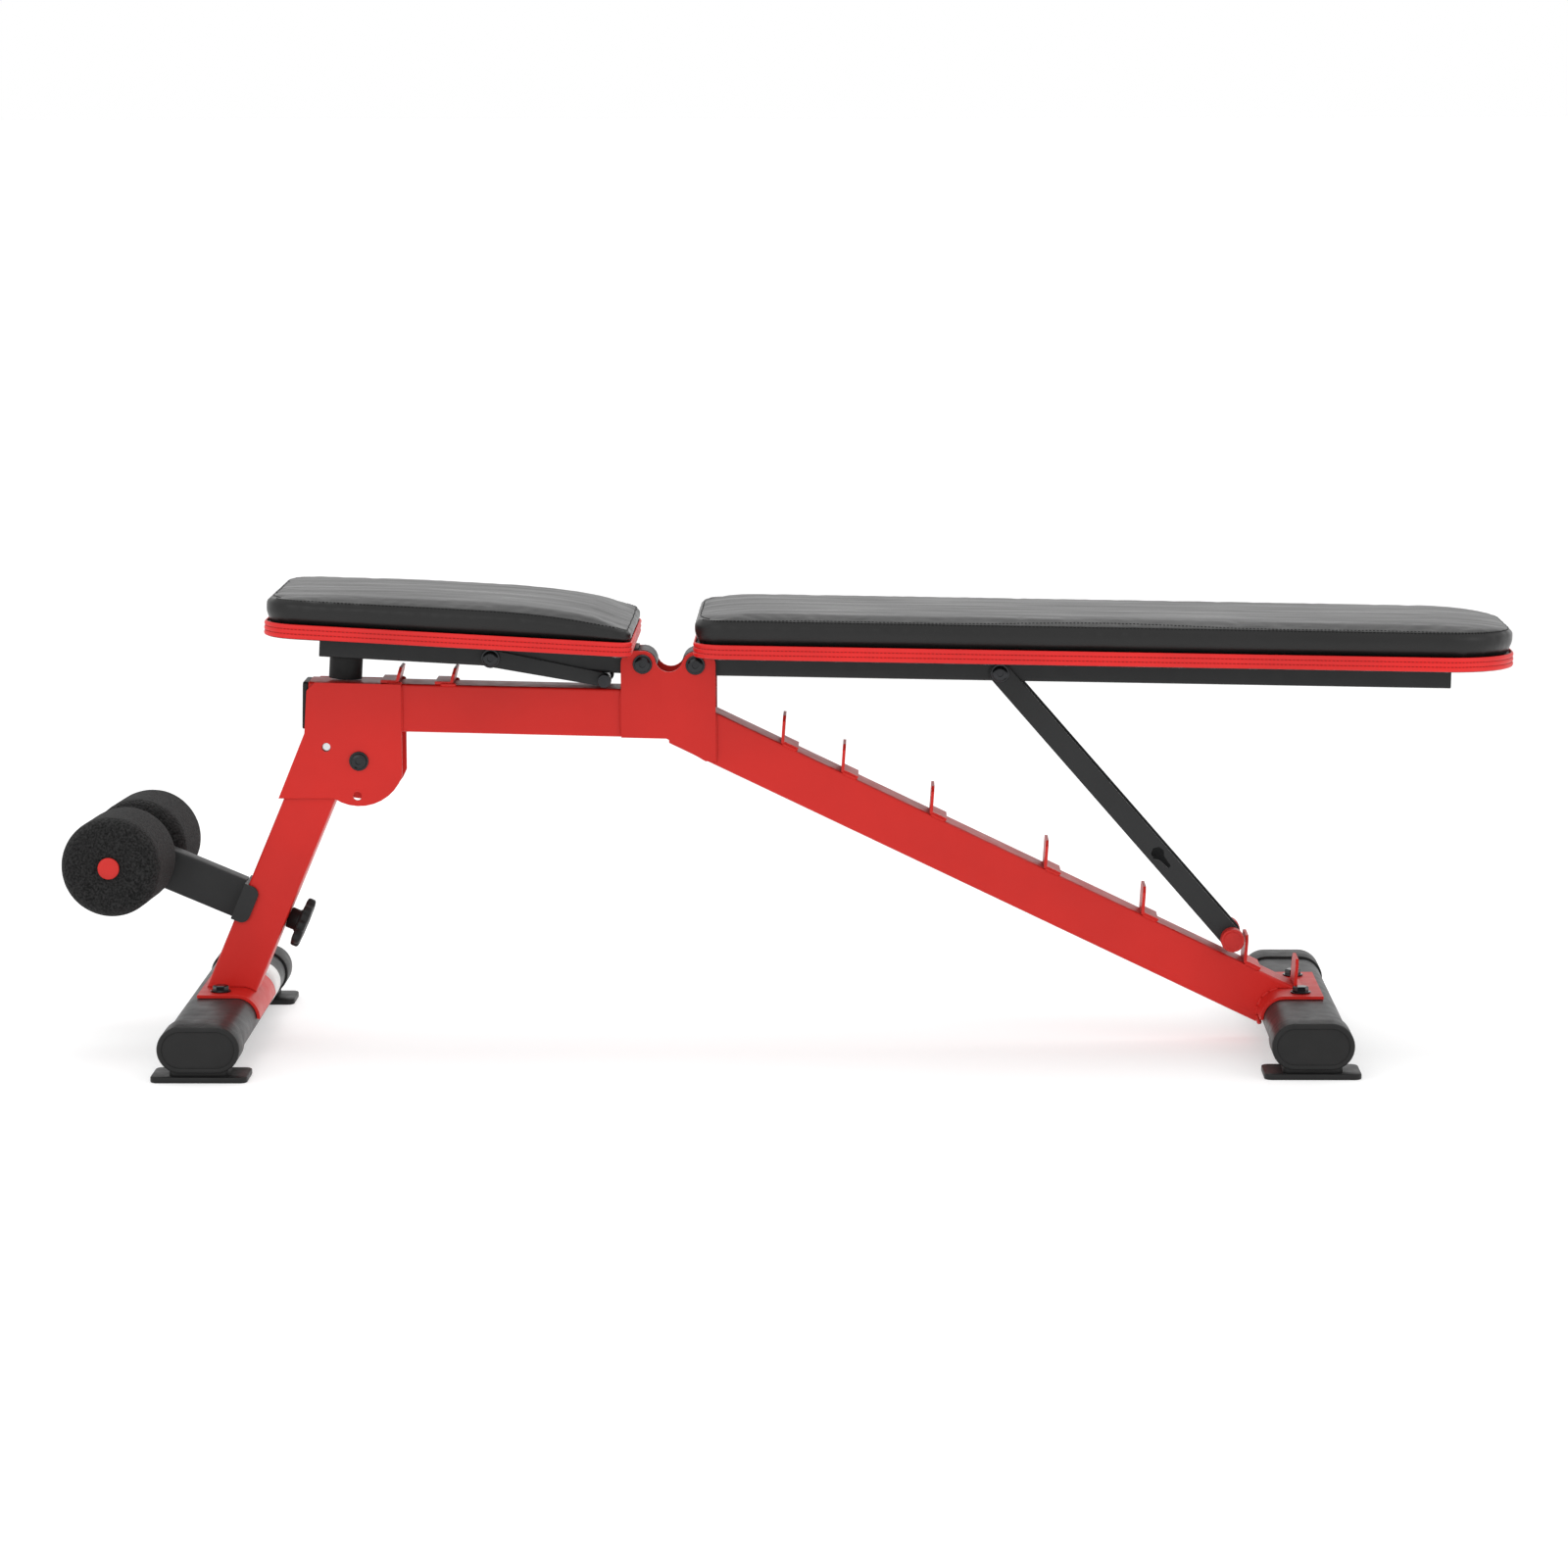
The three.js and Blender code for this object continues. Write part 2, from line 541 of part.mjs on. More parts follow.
function makeRollers(hold) {
  const bar = new THREE.Shape().absarc(0, 0, AXLE.radius, 0, 2 * Math.PI);
  bar.holes.push(circle(0, 0, AXLE.radius - 1.5));
  const axle = acrossY(bar, -AXLE.halfLength, AXLE.halfLength, 8);
  piece(hold, "foot_hold_axle", axleFrame(axle), blackPaint);

  const { radius, inner, outer, edge } = ROLLER;
  const bore = AXLE.radius + 0.4;
  const profile = [new THREE.Vector2(bore, inner)];
  const corner = (middleY, from) => {
    for (let i = 0; i <= 2; i++) {
      const angle = from + (i * Math.PI) / 4;
      const y = middleY + edge * Math.sin(angle);
      profile.push(new THREE.Vector2(radius - edge + edge * Math.cos(angle), y));
    }
  };
  corner(inner + edge, -Math.PI / 2);
  corner(outer - edge, 0);
  profile.push(new THREE.Vector2(bore, outer), profile[0].clone());
  for (const [side, turn] of [["near", Math.PI], ["far", 0]]) {
    const roller = new THREE.LatheGeometry(profile, 20).rotateX(turn);
    piece(hold, "foam_roller_" + side, axleFrame(roller), blackFoam);
    const cap = turnedAlongY([
      [AXLE.radius - 2, outer - 14],
      [AXLE.radius - 2, outer + 0.7],
      [9.7, outer + 0.7],
      [9.7, outer + 1.8],
      [8.7, outer + 2.6],
    ]).rotateX(turn);
    piece(hold, "foot_hold_axle_cap_" + side, axleFrame(cap), redPlastic);
  }
}

function makeKnob(hold) {
  const legFace = -LEG_OFFSET + TUBE / 2;
  const outline = [];
  const steps = 4 * KNOB.lobes;
  for (let i = 0; i < steps; i++) {
    const angle = (2 * Math.PI * i) / steps;
    const wave = Math.tanh(2.2 * Math.cos(KNOB.lobes * angle));
    const radius = KNOB.radius - 1.7 + 1.7 * wave;
    outline.push([radius * Math.cos(angle), radius * Math.sin(angle)]);
  }
  const bossEnd = legFace + 0.5 + KNOB.bossLength;
  const boss = alongX(polygon(circlePoints(KNOB.bossRadius, 12)), legFace + 0.5, bossEnd + 1);
  const star = alongX(polygon(outline), bossEnd, bossEnd + KNOB.thickness);
  const stud = alongX(polygon(circlePoints(KNOB.stud, 8)), -LEG_OFFSET - TUBE / 2 - 2, legFace + 2);
  const knob = join(star, boss, stud);
  piece(hold, "clamp_knob", knob, blackPlastic);
}

function circlePoints(radius, count) {
  return Array.from({ length: count }, (_, i) => {
    const angle = (2 * Math.PI * i) / count;
    return [radius * Math.cos(angle), radius * Math.sin(angle)];
  });
}

// ---- cushions, in a frame at their hinge with X along the cushion ----
const CORNER_STEPS = 4; // flats in each rounded corner

// Plan outline with its own corner radius at each end, pulled in by inset.
function cushionOutline({ front, rear, frontCorner, rearCorner }, inset, Kind = THREE.Shape) {
  const half = CUSHION_WIDTH / 2 - inset;
  const left = front + inset;
  const right = rear - inset;
  const a = Math.max(frontCorner - inset, 2);
  const b = Math.max(rearCorner - inset, 2);
  const shape = new Kind();
  shape.absarc(right - b, half - b, b, 0, Math.PI / 2);
  shape.absarc(left + a, half - a, a, Math.PI / 2, Math.PI);
  shape.absarc(left + a, a - half, a, Math.PI, 1.5 * Math.PI);
  shape.absarc(right - b, b - half, b, 1.5 * Math.PI, 2 * Math.PI);
  shape.closePath();
  return shape;
}

function makeCushion(frame, name, plan) {
  const inset = TRIM.thickness + GAP;
  const outline = cushionOutline(plan, inset);
  const board = extrude(outline, BOARD.height, CORNER_STEPS).translate(0, 0, BOARD.bottom);
  piece(frame, name + "_board", board, blackPlastic);

  const band = cushionOutline(plan, 0);
  band.holes.push(cushionOutline(plan, TRIM.thickness, THREE.Path));
  const trim = extrude(band, TRIM.height, CORNER_STEPS).translate(0, 0, TRIM.bottom);
  piece(frame, name + "_trim", trim, redVinyl);

  const bottom = BOARD.bottom + BOARD.height + GAP;
  const sideTop = TRIM.bottom + CUSHION.side;
  const rings = [outlineRing(plan, inset, bottom), outlineRing(plan, inset, sideTop - CUSHION.softening)];
  for (const [across, up] of CUSHION.rise) {
    rings.push(outlineRing(plan, inset + across * CUSHION.crownWidth, sideTop + up * CUSHION.crown));
  }
  piece(frame, name + "_cushion", stackRings(rings), blackVinyl);
}

function outlineRing(plan, inset, height) {
  const points = cushionOutline(plan, inset).getPoints(CORNER_STEPS);
  if (points[0].distanceTo(points.at(-1)) < 0.01) points.pop();
  return points.map(({ x, y }) => [x, y, height]);
}

// A closed solid through convex rings of equal point count, listed from the bottom up.
function stackRings(rings) {
  const count = rings[0].length;
  const faces = [];
  const ringStart = (level) => level * count;
  for (let i = 0; i < count; i++) {
    const next = (i + 1) % count;
    for (let level = 0; level < rings.length - 1; level++) {
      const low = ringStart(level);
      const high = ringStart(level + 1);
      faces.push(low + i, low + next, high + next, low + i, high + next, high + i);
    }
    if (i > 0 && i < count - 1) {
      const top = ringStart(rings.length - 1);
      faces.push(0, next, i, top, top + i, top + next);
    }
  }
  const geometry = new THREE.BufferGeometry();
  geometry.setAttribute("position", new THREE.Float32BufferAttribute(rings.flat(2), 3));
  geometry.setIndex(faces);
  return geometry;
}

function cushionTube(front, rear, bolts) {
  const { width, height, wall } = CUSHION_TUBE;
  const section = tubeShape(width, height, wall, 2.5);
  const tube = alongX(section, front, rear).translate(0, 0, CUSHION_TUBE_BOTTOM + height / 2);
  const hinge = rod(0, 0, 13 + GAP, width);
  return cut(tube, hinge, ...bolts.map(({ x, z }) => rod(x, z, 4 + GAP, width)));
}

function localPoint(group, place) {
  return new THREE.Vector3(place.x, 0, place.z).applyMatrix4(group.matrixWorld.clone().invert());
}

function makeSeat() {
  const seat = frameAt(bench, SEAT_HINGE, SEAT.tilt);
  makeCushion(seat, "seat", SEAT);
  const pivot = localPoint(seat, SEAT_PROP);
  piece(seat, "seat_tube", cushionTube(SEAT.tubeFront, -5, [pivot]), blackPaint);
  piece(seat, "seat_hinge_sleeve", sleeve(13, 22), blackPaint);
  const bumper = new THREE.CylinderGeometry(BUMPER.radius, BUMPER.radius, BUMPER.height, 16)
    .rotateX(Math.PI / 2)
    .translate(BUMPER.x, 0, CUSHION_TUBE_BOTTOM - GAP - BUMPER.height / 2);
  piece(seat, "seat_bumper", bumper, blackRubber);
}

function makeBack() {
  const back = frameAt(bench, BACK_HINGE, BACK.tilt);
  makeCushion(back, "back", BACK);
  const pivot = localPoint(back, BACK_PROP);
  piece(back, "back_tube", cushionTube(5, BACK.tubeRear, [pivot]), blackPaint);
  piece(back, "back_hinge_sleeve", sleeve(13, 22), blackPaint);
}

// ---- props: a channel that straddles the cushion tube, with a cross bar at its free end ----
// Side outline of a cheek, from radius a about the pivot to radius b about the bar.
function cheekShape(length, a, b, barHole) {
  const tilt = Math.asin((a - b) / length);
  const shape = new THREE.Shape();
  shape.absarc(length, 0, b, -Math.PI / 2 + tilt, Math.PI / 2 - tilt);
  shape.absarc(0, 0, a, Math.PI / 2 - tilt, 1.5 * Math.PI + tilt);
  shape.closePath();
  shape.holes.push(circle(0, 0, 4 + GAP), circle(length, 0, barHole));
  return shape;
}

function channel(prop, a, b, barHole) {
  const inner = PROP_CHEEK.inner;
  const outer = inner + PROP_CHEEK.thickness;
  const cheek = cheekShape(prop.length, a, b, barHole);
  const thin = PROP_CHEEK.thickness;
  const edge = -Math.min(a, b);
  const webTo = prop.length - b - 6;
  const web = box([prop.webFrom, -inner - 1, edge], [webTo, inner + 1, edge + thin]);
  const parts = [acrossY(cheek, -outer, -inner, 6), acrossY(cheek, inner, outer, 6), web];
  return { geometry: join(...parts), outer };
}

function makeBackProp() {
  const prop = frameAt(bench, BACK_PROP, BACK_PROP.angle);
  const { geometry, outer } = channel(BACK_PROP, BACK_PROP.halfWidth, BACK_PROP.halfWidth, 7 + GAP);
  const keyhole = new THREE.Shape();
  keyhole.absarc(224, 0, 6.5, 0.15 * Math.PI, 1.85 * Math.PI);
  keyhole.lineTo(241, -1.6);
  keyhole.lineTo(241, 1.6);
  keyhole.closePath();
  const opening = acrossY(keyhole, -outer - 1, -PROP_CHEEK.inner + 1, 3);
  piece(prop, "back_prop_channel", cut(geometry, opening), blackPaint);

  const inside = PROP_CHEEK.inner - 0.4;
  const bar = turnedAlongY([
    [9.8, -37.8],
    [11, -36.6],
    [11, -outer - 0.4],
    [7, -outer - 0.4],
    [7, -inside],
    [10.4, -inside],
    [10.4, inside],
    [7, inside],
    [7, outer + 0.4],
    [11, outer + 0.4],
    [11, 36.6],
    [9.8, 37.8],
  ]).translate(BACK_PROP.length, 0, 0);
  piece(prop, "back_prop_bar", bar, redPlastic);
  piece(prop, "back_prop_bolt", crossBolt(outer + GAP, 4, { radius: 9, height: 3.5 }), blackSteel);
}

function makeSeatProp() {
  const prop = frameAt(bench, SEAT_PROP, SEAT_PROP.angle);
  const { geometry, outer } = channel(SEAT_PROP, 8, 6.3, 4.2 + GAP);
  piece(prop, "seat_prop_link", geometry, blackPaint);
  const bar = turnedAlongY([
    [5.6, -32],
    [6.5, -31],
    [6.5, -outer - 0.4],
    [4.2, -outer - 0.4],
    [4.2, outer + 0.4],
    [6.5, outer + 0.4],
    [6.5, 31],
    [5.6, 32],
  ]).translate(SEAT_PROP.length, 0, 0);
  piece(prop, "seat_prop_rod", bar, blackSteel);
  piece(prop, "seat_prop_bolt", crossBolt(outer + GAP, 4, { radius: 9, height: 3.5 }), blackSteel);
}

makeBeams();
makePlatePair("hinge_gusset", gussetShape());
makePlatePair("leg_fold_plate", foldPlateShape());
makeCatches();
makeFoot("rear", REAR_FOOT, -1);
makeFoot("front", FRONT_FOOT, 1);
makeHingeBolts();
makeLeg();
makeSeat();
makeBack();
makeSeatProp();
makeBackProp();

export default bench;
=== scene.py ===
"""The looks of a folding sit-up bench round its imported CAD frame. Metres, +Z up, +X to the head end."""

import json
import math

import bmesh
import bpy
import numpy as np
from mathutils import Matrix, Vector, noise
from mathutils.bvhtree import BVHTree


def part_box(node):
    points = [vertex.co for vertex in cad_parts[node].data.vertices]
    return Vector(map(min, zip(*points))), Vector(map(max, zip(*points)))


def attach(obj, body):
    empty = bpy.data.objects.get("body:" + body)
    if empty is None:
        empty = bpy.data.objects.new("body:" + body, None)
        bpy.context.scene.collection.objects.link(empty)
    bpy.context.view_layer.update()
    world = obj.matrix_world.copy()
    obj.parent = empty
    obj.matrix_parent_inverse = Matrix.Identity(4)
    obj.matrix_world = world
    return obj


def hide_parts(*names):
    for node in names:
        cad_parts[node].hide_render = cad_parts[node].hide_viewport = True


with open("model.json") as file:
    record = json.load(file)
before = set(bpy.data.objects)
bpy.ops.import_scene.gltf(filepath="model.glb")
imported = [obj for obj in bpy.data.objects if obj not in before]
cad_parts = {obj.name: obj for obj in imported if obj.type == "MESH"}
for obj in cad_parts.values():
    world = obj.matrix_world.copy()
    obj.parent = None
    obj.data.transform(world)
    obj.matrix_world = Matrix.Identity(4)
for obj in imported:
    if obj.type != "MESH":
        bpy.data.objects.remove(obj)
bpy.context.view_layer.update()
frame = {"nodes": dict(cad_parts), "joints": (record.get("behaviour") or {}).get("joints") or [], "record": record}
nodes = frame["nodes"]
joints = {j["name"]: j for j in frame["joints"]}
body_of_node = {n: b for b, names in frame["record"]["behaviour"]["bodies"].items() for n in names}

MM = 0.001
BEAM_TILT = math.radians(1.35)
REAR_SLOPE = math.radians(25.6)
LEG_LEAN = math.radians(22.85)
BEAMS = {"seat": ("main_beam", BEAM_TILT), "back": ("rear_beam", REAR_SLOPE)}

CUSHION_TILT = {"seat": math.radians(3.2), "back": math.radians(1.0)}
CUSHION_HINGE = {"seat": "seat_tilt", "back": "back_recline"}
CUSHION_BODY = {"seat": "seat", "back": "back_rest"}
# Radii of a cushion's plan: at its -X end, then at its +X end.
CORNERS = {"seat": (32 * MM, 14 * MM), "back": (28 * MM, 70 * MM)}
VOXEL = 4.5 * MM
SIDE_INSET = 1.6 * MM  # how far the cover starts inside the board's edge before it is blown up
BASE_HEIGHT = 7 * MM  # the part of the cover behind the trim, held still
PUFF_CAP = 1.6 * MM
CLOTH_FRAMES = 20

SEAM_ABOVE_TRIM = 33.5 * MM  # height of the sewn seam over the trim's lower edge
SEAM_DROP = {"seat": 11 * MM, "back": 0}  # how much lower the seam is at the +X end
SEAM_DROP_FROM = 0.6  # share of the length where it starts to drop
SEAM_ROWS = {"seat": (0,), "back": (0, 2.4 * MM)}  # how far each row of stitches wanders above the seam
SHOULDER = 32 * MM  # how far in from the side the top panel curves over
SHOULDER_RISE = 5.0 * MM
CROWN_RISE = 1.2 * MM
# How far in the crown rises from a cushion's -X end, then from its +X end.
END_FALL = {"seat": (150 * MM, 70 * MM), "back": (60 * MM, 80 * MM)}
END_SINK = 0.85  # share of its rise the crown loses right at an end

TRIM_PROUD = 2.5 * MM
RIB_DEPTH = 1.15 * MM
RIBS = 3

ROLLER_RADIUS = 46 * MM
ROLLER_BORE = 8.6 * MM
ROLLER_ENDS = (18 * MM, 117 * MM)  # along the axle from its middle
ROLLER_EDGE = 13 * MM

CAP_WIDTH, CAP_HEIGHT = 75 * MM, 42.6 * MM
FOOT_Z = 30.2 * MM  # height of the foot tubes' middle
# Rows of a foot cap as (inset, distance in from its end face) in millimetres, from the panel to the lip.
CAP_ROWS = (
    (6.6, 1.3),
    (5.2, 1.3),
    (4.9, 1.0),
    (4.6, 0.3),
    (4.2, 0.0),
    (2.4, 0.0),
    (1.2, 0.4),
    (0.4, 1.3),
    (0.0, 2.8),
    (0.0, 41.0),
    (0.2, 41.7),
    (0.7, 42.0),
    (1.9, 42.0),
    (1.9, 20.0),
)
SADDLE_WELD = (0.775, 0.985)  # from the lip to the top of the saddle, as turns round the foot tube
BEAM_SIDE = 23.1 * MM  # where a bead lies on the side of a square tube

DULL = 0.25  # specular level of paint and plastic


# ---- node helpers for materials ----
class Shader:
    """A Principled material with short calls for its procedural nodes."""

    def __init__(self, name, color, roughness, metallic=0.0):
        self.material = bpy.data.materials.new(name)
        self.material.use_nodes = True
        self.tree = self.material.node_tree
        self.principled = self.tree.nodes["Principled BSDF"]
        self.set(Metallic=metallic, Roughness=roughness)
        self.principled.inputs["Base Color"].default_value = (*color, 1)
        self.material.diffuse_color = (*color, 1)
        self.color = color
        self.place = self.add("ShaderNodeTexCoord").outputs["Object"]

    def set(self, **values):
        for name, value in values.items():
            self.principled.inputs[name.replace("_", " ")].default_value = value

    def add(self, kind, **settings):
        node = self.tree.nodes.new(kind)
        for name, value in settings.items():
            setattr(node, name, value)
        return node

    def link(self, source, target):
        self.tree.links.new(source, target)

    def stretched(self, scale):
        mapping = self.add("ShaderNodeMapping")
        mapping.inputs["Scale"].default_value = scale
        self.link(self.place, mapping.inputs["Vector"])
        return mapping.outputs["Vector"]

    def noise(self, scale, detail=3, place=None):
        node = self.add("ShaderNodeTexNoise")
        node.inputs["Scale"].default_value = scale
        node.inputs["Detail"].default_value = detail
        self.link(place or self.place, node.inputs["Vector"])
        return node.outputs["Fac"]

    def cells(self, scale, feature="DISTANCE_TO_EDGE"):
        node = self.add("ShaderNodeTexVoronoi", feature=feature)
        node.inputs["Scale"].default_value = scale
        self.link(self.place, node.inputs["Vector"])
        return node.outputs["Distance"]

    def spread(self, value, low, high, from_low=0.3, from_high=0.7):
        node = self.add("ShaderNodeMapRange")
        ends = (from_low, from_high, low, high)
        for name, end in zip(("From Min", "From Max", "To Min", "To Max"), ends):
            node.inputs[name].default_value = end
        self.link(value, node.inputs["Value"])
        return node.outputs["Result"]

    def vary_color(self, value, darker, lighter, from_low=0.3, from_high=0.7):
        """The base colour from darker to lighter shares of itself, as value goes over its range."""
        ramp = self.add("ShaderNodeValToRGB")
        stops = zip(ramp.color_ramp.elements, (from_low, from_high), (darker, lighter))
        for stop, position, share in stops:
            stop.position = position
            stop.color = (*(min(1, c * share) for c in self.color), 1)
        self.link(value, ramp.inputs["Fac"])
        self.link(ramp.outputs["Color"], self.principled.inputs["Base Color"])

    def vary_roughness(self, value, low, high):
        self.link(self.spread(value, low, high), self.principled.inputs["Roughness"])

    def bump(self, *heights):
        """Adds bumps, each (value, height in metres), one over the other."""
        normal = None
        for value, height in heights:
            node = self.add("ShaderNodeBump")
            node.inputs["Strength"].default_value = 1
            node.inputs["Distance"].default_value = height
            self.link(value, node.inputs["Height"])
            if normal:
                self.link(normal, node.inputs["Normal"])
            normal = node.outputs["Normal"]
        self.link(normal, self.principled.inputs["Normal"])


def powder_coat(name, color, roughness):
    shader = Shader(name, color, roughness)
    shader.vary_color(shader.noise(9, 4), 0.93, 1.06)
    shader.vary_roughness(shader.noise(60, 4), roughness - 0.05, roughness + 0.06)
    shader.bump((shader.noise(700, 2), 0.06 * MM), (shader.noise(2200, 2), 0.03 * MM))
    shader.set(Specular_IOR_Level=DULL)
    return shader.material


def vinyl(name, color, roughness, grain=1.0):
    shader = Shader(name, color, roughness)
    lengthwise = shader.stretched((0.35, 3.0, 1.5))
    shader.vary_color(shader.noise(14, 5), 0.9, 1.1)
    shader.vary_roughness(shader.noise(26, 5, lengthwise), roughness - 0.06, roughness + 0.07)
    creases = shader.noise(24, 4, lengthwise)
    shader.bump(
        (shader.cells(620), 0.10 * MM * grain),
        (shader.noise(1500, 2), 0.04 * MM),
        (creases, 0.4 * MM * grain),
    )
    shader.set(Specular_IOR_Level=0.34)
    return shader.material


def moulded_plastic(name, color, roughness):
    shader = Shader(name, color, roughness)
    shader.vary_color(shader.noise(30, 4), 0.88, 1.14)
    shader.vary_roughness(shader.noise(90, 4), roughness - 0.05, roughness + 0.08)
    shader.bump((shader.noise(1400, 3), 0.08 * MM))
    shader.set(Specular_IOR_Level=DULL)
    return shader.material


def foam(name, color):
    shader = Shader(name, color, 0.95)
    pores_and_painted_light = shader.noise(520, 4)
    # The colour follows the pores' bump: painted shade darkens the sunk pits and painted highlight lightens the
    # raised specks.
    shader.vary_color(pores_and_painted_light, 0.35, 2.6, 0.36, 0.66)
    shader.bump((pores_and_painted_light, 1.1 * MM), (shader.cells(330, "F1"), 0.7 * MM))
    shader.set(Sheen_Weight=0.04, Sheen_Roughness=0.6, Specular_IOR_Level=0.15)
    return shader.material


def rubber(name, color):
    shader = Shader(name, color, 0.65)
    shader.vary_color(shader.noise(120, 4), 0.85, 1.2)
    shader.vary_roughness(shader.noise(80, 3), 0.58, 0.72)
    shader.bump((shader.noise(900, 3), 0.1 * MM))
    shader.set(Specular_IOR_Level=DULL)
    return shader.material


def bare_steel(name, color, roughness, metallic=1.0):
    shader = Shader(name, color, roughness, metallic)
    shader.vary_color(shader.noise(80, 4), 0.88, 1.1)
    brushed = shader.noise(300, 4, shader.stretched((1, 6, 1)))
    shader.vary_roughness(brushed, roughness - 0.06, roughness + 0.08)
    shader.bump((shader.noise(1300, 2), 0.03 * MM))
    return shader.material


def lining_fabric(name, color):
    """The thin woven cloth stapled under a cushion."""
    shader = Shader(name, color, 0.9)
    across = shader.add("ShaderNodeTexWave", bands_direction="X")
    along = shader.add("ShaderNodeTexWave", bands_direction="Y")
    for wave in (across, along):
        wave.inputs["Scale"].default_value = 260
        shader.link(shader.place, wave.inputs["Vector"])
    shader.vary_color(shader.noise(200, 3), 0.7, 1.3)
    shader.bump((across.outputs["Fac"], 0.15 * MM), (along.outputs["Fac"], 0.15 * MM))
    return shader.material


RED_COAT = powder_coat("red_powder_coat", (0.56, 0.016, 0.011), 0.40)
BLACK_COAT = powder_coat("black_powder_coat", (0.020, 0.0205, 0.021), 0.42)
BLACK_VINYL = vinyl("black_vinyl", (0.008, 0.008, 0.008), 0.33)
RED_VINYL = vinyl("red_vinyl", (0.63, 0.011, 0.010), 0.42, grain=0.3)
BLACK_PLASTIC = moulded_plastic("black_moulded_plastic", (0.011, 0.011, 0.011), 0.45)
RED_PLASTIC = moulded_plastic("red_moulded_plastic", (0.50, 0.020, 0.016), 0.45)
FOAM = foam("black_foam", (0.010, 0.010, 0.010))
RUBBER = rubber("black_rubber", (0.010, 0.010, 0.010))
BLACK_STEEL = bare_steel("black_steel", (0.035, 0.036, 0.038), 0.17, 0.9)
ZINC_STEEL = bare_steel("zinc_steel", (0.62, 0.63, 0.64), 0.25)
BLACK_THREAD = moulded_plastic("black_thread", (0.004, 0.004, 0.004), 0.7)
RED_THREAD = moulded_plastic("dark_red_thread", (0.26, 0.008, 0.006), 0.6)
LINING = lining_fabric("underside_lining", (0.014, 0.014, 0.015))
LABEL = moulded_plastic("blank_label", (0.72, 0.72, 0.71), 0.5)

SLOT_MATERIAL = {
    "red_powder_coat": RED_COAT,
    "black_powder_coat": BLACK_COAT,
    "black_moulded_plastic": BLACK_PLASTIC,
    "red_moulded_plastic": RED_PLASTIC,
    "black_vinyl": BLACK_VINYL,
    "red_vinyl": RED_VINYL,
    "black_foam": FOAM,
    "black_rubber": RUBBER,
    "black_steel": BLACK_STEEL,
    "zinc_steel": ZINC_STEEL,
}
slot_of_node = {s["node"]: s["material_slot"] for s in frame["record"]["subparts"]}


# ---- mesh helpers ----
def add_piece(name, points, faces, material, body, smooth=True):
    mesh = bpy.data.meshes.new(name)
    mesh.from_pydata([tuple(p) for p in points], [], faces)
    mesh.update()
    return add_mesh(name, mesh, material, body, smooth)


def add_mesh(name, mesh, material, body, smooth=True):
    tidy = bmesh.new()
    tidy.from_mesh(mesh)
    bmesh.ops.recalc_face_normals(tidy, faces=tidy.faces)
    tidy.to_mesh(mesh)
    tidy.free()
    mesh.materials.clear()
    mesh.materials.append(material)
    mesh.polygons.foreach_set("use_smooth", [smooth] * len(mesh.polygons))
    obj = bpy.data.objects.new(name, mesh)
    bpy.context.scene.collection.objects.link(obj)
    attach(obj, body)
    return obj


def ring_faces(rings, around, close_rings=False, caps=True):
    """Quads between rings of equal length, listed one after another, with flat caps on the ends."""
    faces = []
    last = rings if close_rings else rings - 1
    for r in range(last):
        low = r * around
        high = ((r + 1) % rings) * around
        for i in range(around):
            j = (i + 1) % around
            faces.append((low + i, low + j, high + j, high + i))
    if caps and not close_rings:
        faces.append(tuple(reversed(range(around))))
        faces.append(tuple(range((rings - 1) * around, rings * around)))
    return faces


def lathe(steps, centre, axis, around=64):
    """Points and faces of a solid turned about axis, from (radius, distance along the axis) steps."""
    axis = Vector(axis).normalized()
    side = axis.orthogonal().normalized()
    other = axis.cross(side)
    points = []
    for radius, along in steps:
        for i in range(around):
            a = 2 * math.pi * i / around
            points.append(centre + axis * along + (side * math.cos(a) + other * math.sin(a)) * radius)
    return points, ring_faces(len(steps), around)


def arc_steps(radius, along, size, start, end, count=5):
    """Steps of a quarter round for a lathe: centre (radius, along), from angle start to end in degrees."""
    angles = [math.radians(start + (end - start) * i / count) for i in range(count + 1)]
    return [(radius + size * math.cos(a), along + size * math.sin(a)) for a in angles]


def merged(parts):
    """Several (points, faces) as one."""
    points, faces = [], []
    for more_points, more_faces in parts:
        start = len(points)
        points.extend(more_points)
        faces.extend(tuple(start + i for i in f) for f in more_faces)
    return points, faces


def local_points(node, to_world):
    """A CAD node's vertices in a tilted frame, as an array."""
    inverse = to_world.inverted()
    return np.array([inverse @ v.co for v in nodes[node].data.vertices])


# ---- CAD nodes that stay: rounded edges, smooth shading and their slot's finish ----
EDGE_ROUND = {"red_powder_coat": 0.7 * MM, "black_powder_coat": 0.6 * MM, "black_moulded_plastic": 0.8 * MM}


def finish_cad_node(name, obj):
    slot = slot_of_node[name]
    mesh = obj.data
    mesh.materials.clear()
    mesh.materials.append(SLOT_MATERIAL[slot])
    if "custom_normal" in mesh.attributes:
        mesh.attributes.remove(mesh.attributes["custom_normal"])
    mesh.polygons.foreach_set("use_smooth", [True] * len(mesh.polygons))
    weld = obj.modifiers.new("weld", "WELD")
    weld.merge_threshold = 0.01 * MM
    bevel = obj.modifiers.new("round_edges", "BEVEL")
    bevel.width = EDGE_ROUND.get(slot, 0.4 * MM)
    bevel.segments = 3
    bevel.limit_method = "ANGLE"
    bevel.angle_limit = math.radians(38)
    normals = obj.modifiers.new("normals", "WEIGHTED_NORMAL")
    normals.weight = 100


# ---- upholstery ----
def cushion_frame(which):
    hinge = Vector(joints[CUSHION_HINGE[which]]["pos_m"])
    return Matrix.Translation(hinge) @ Matrix.Rotation(CUSHION_TILT[which], 4, "Y")


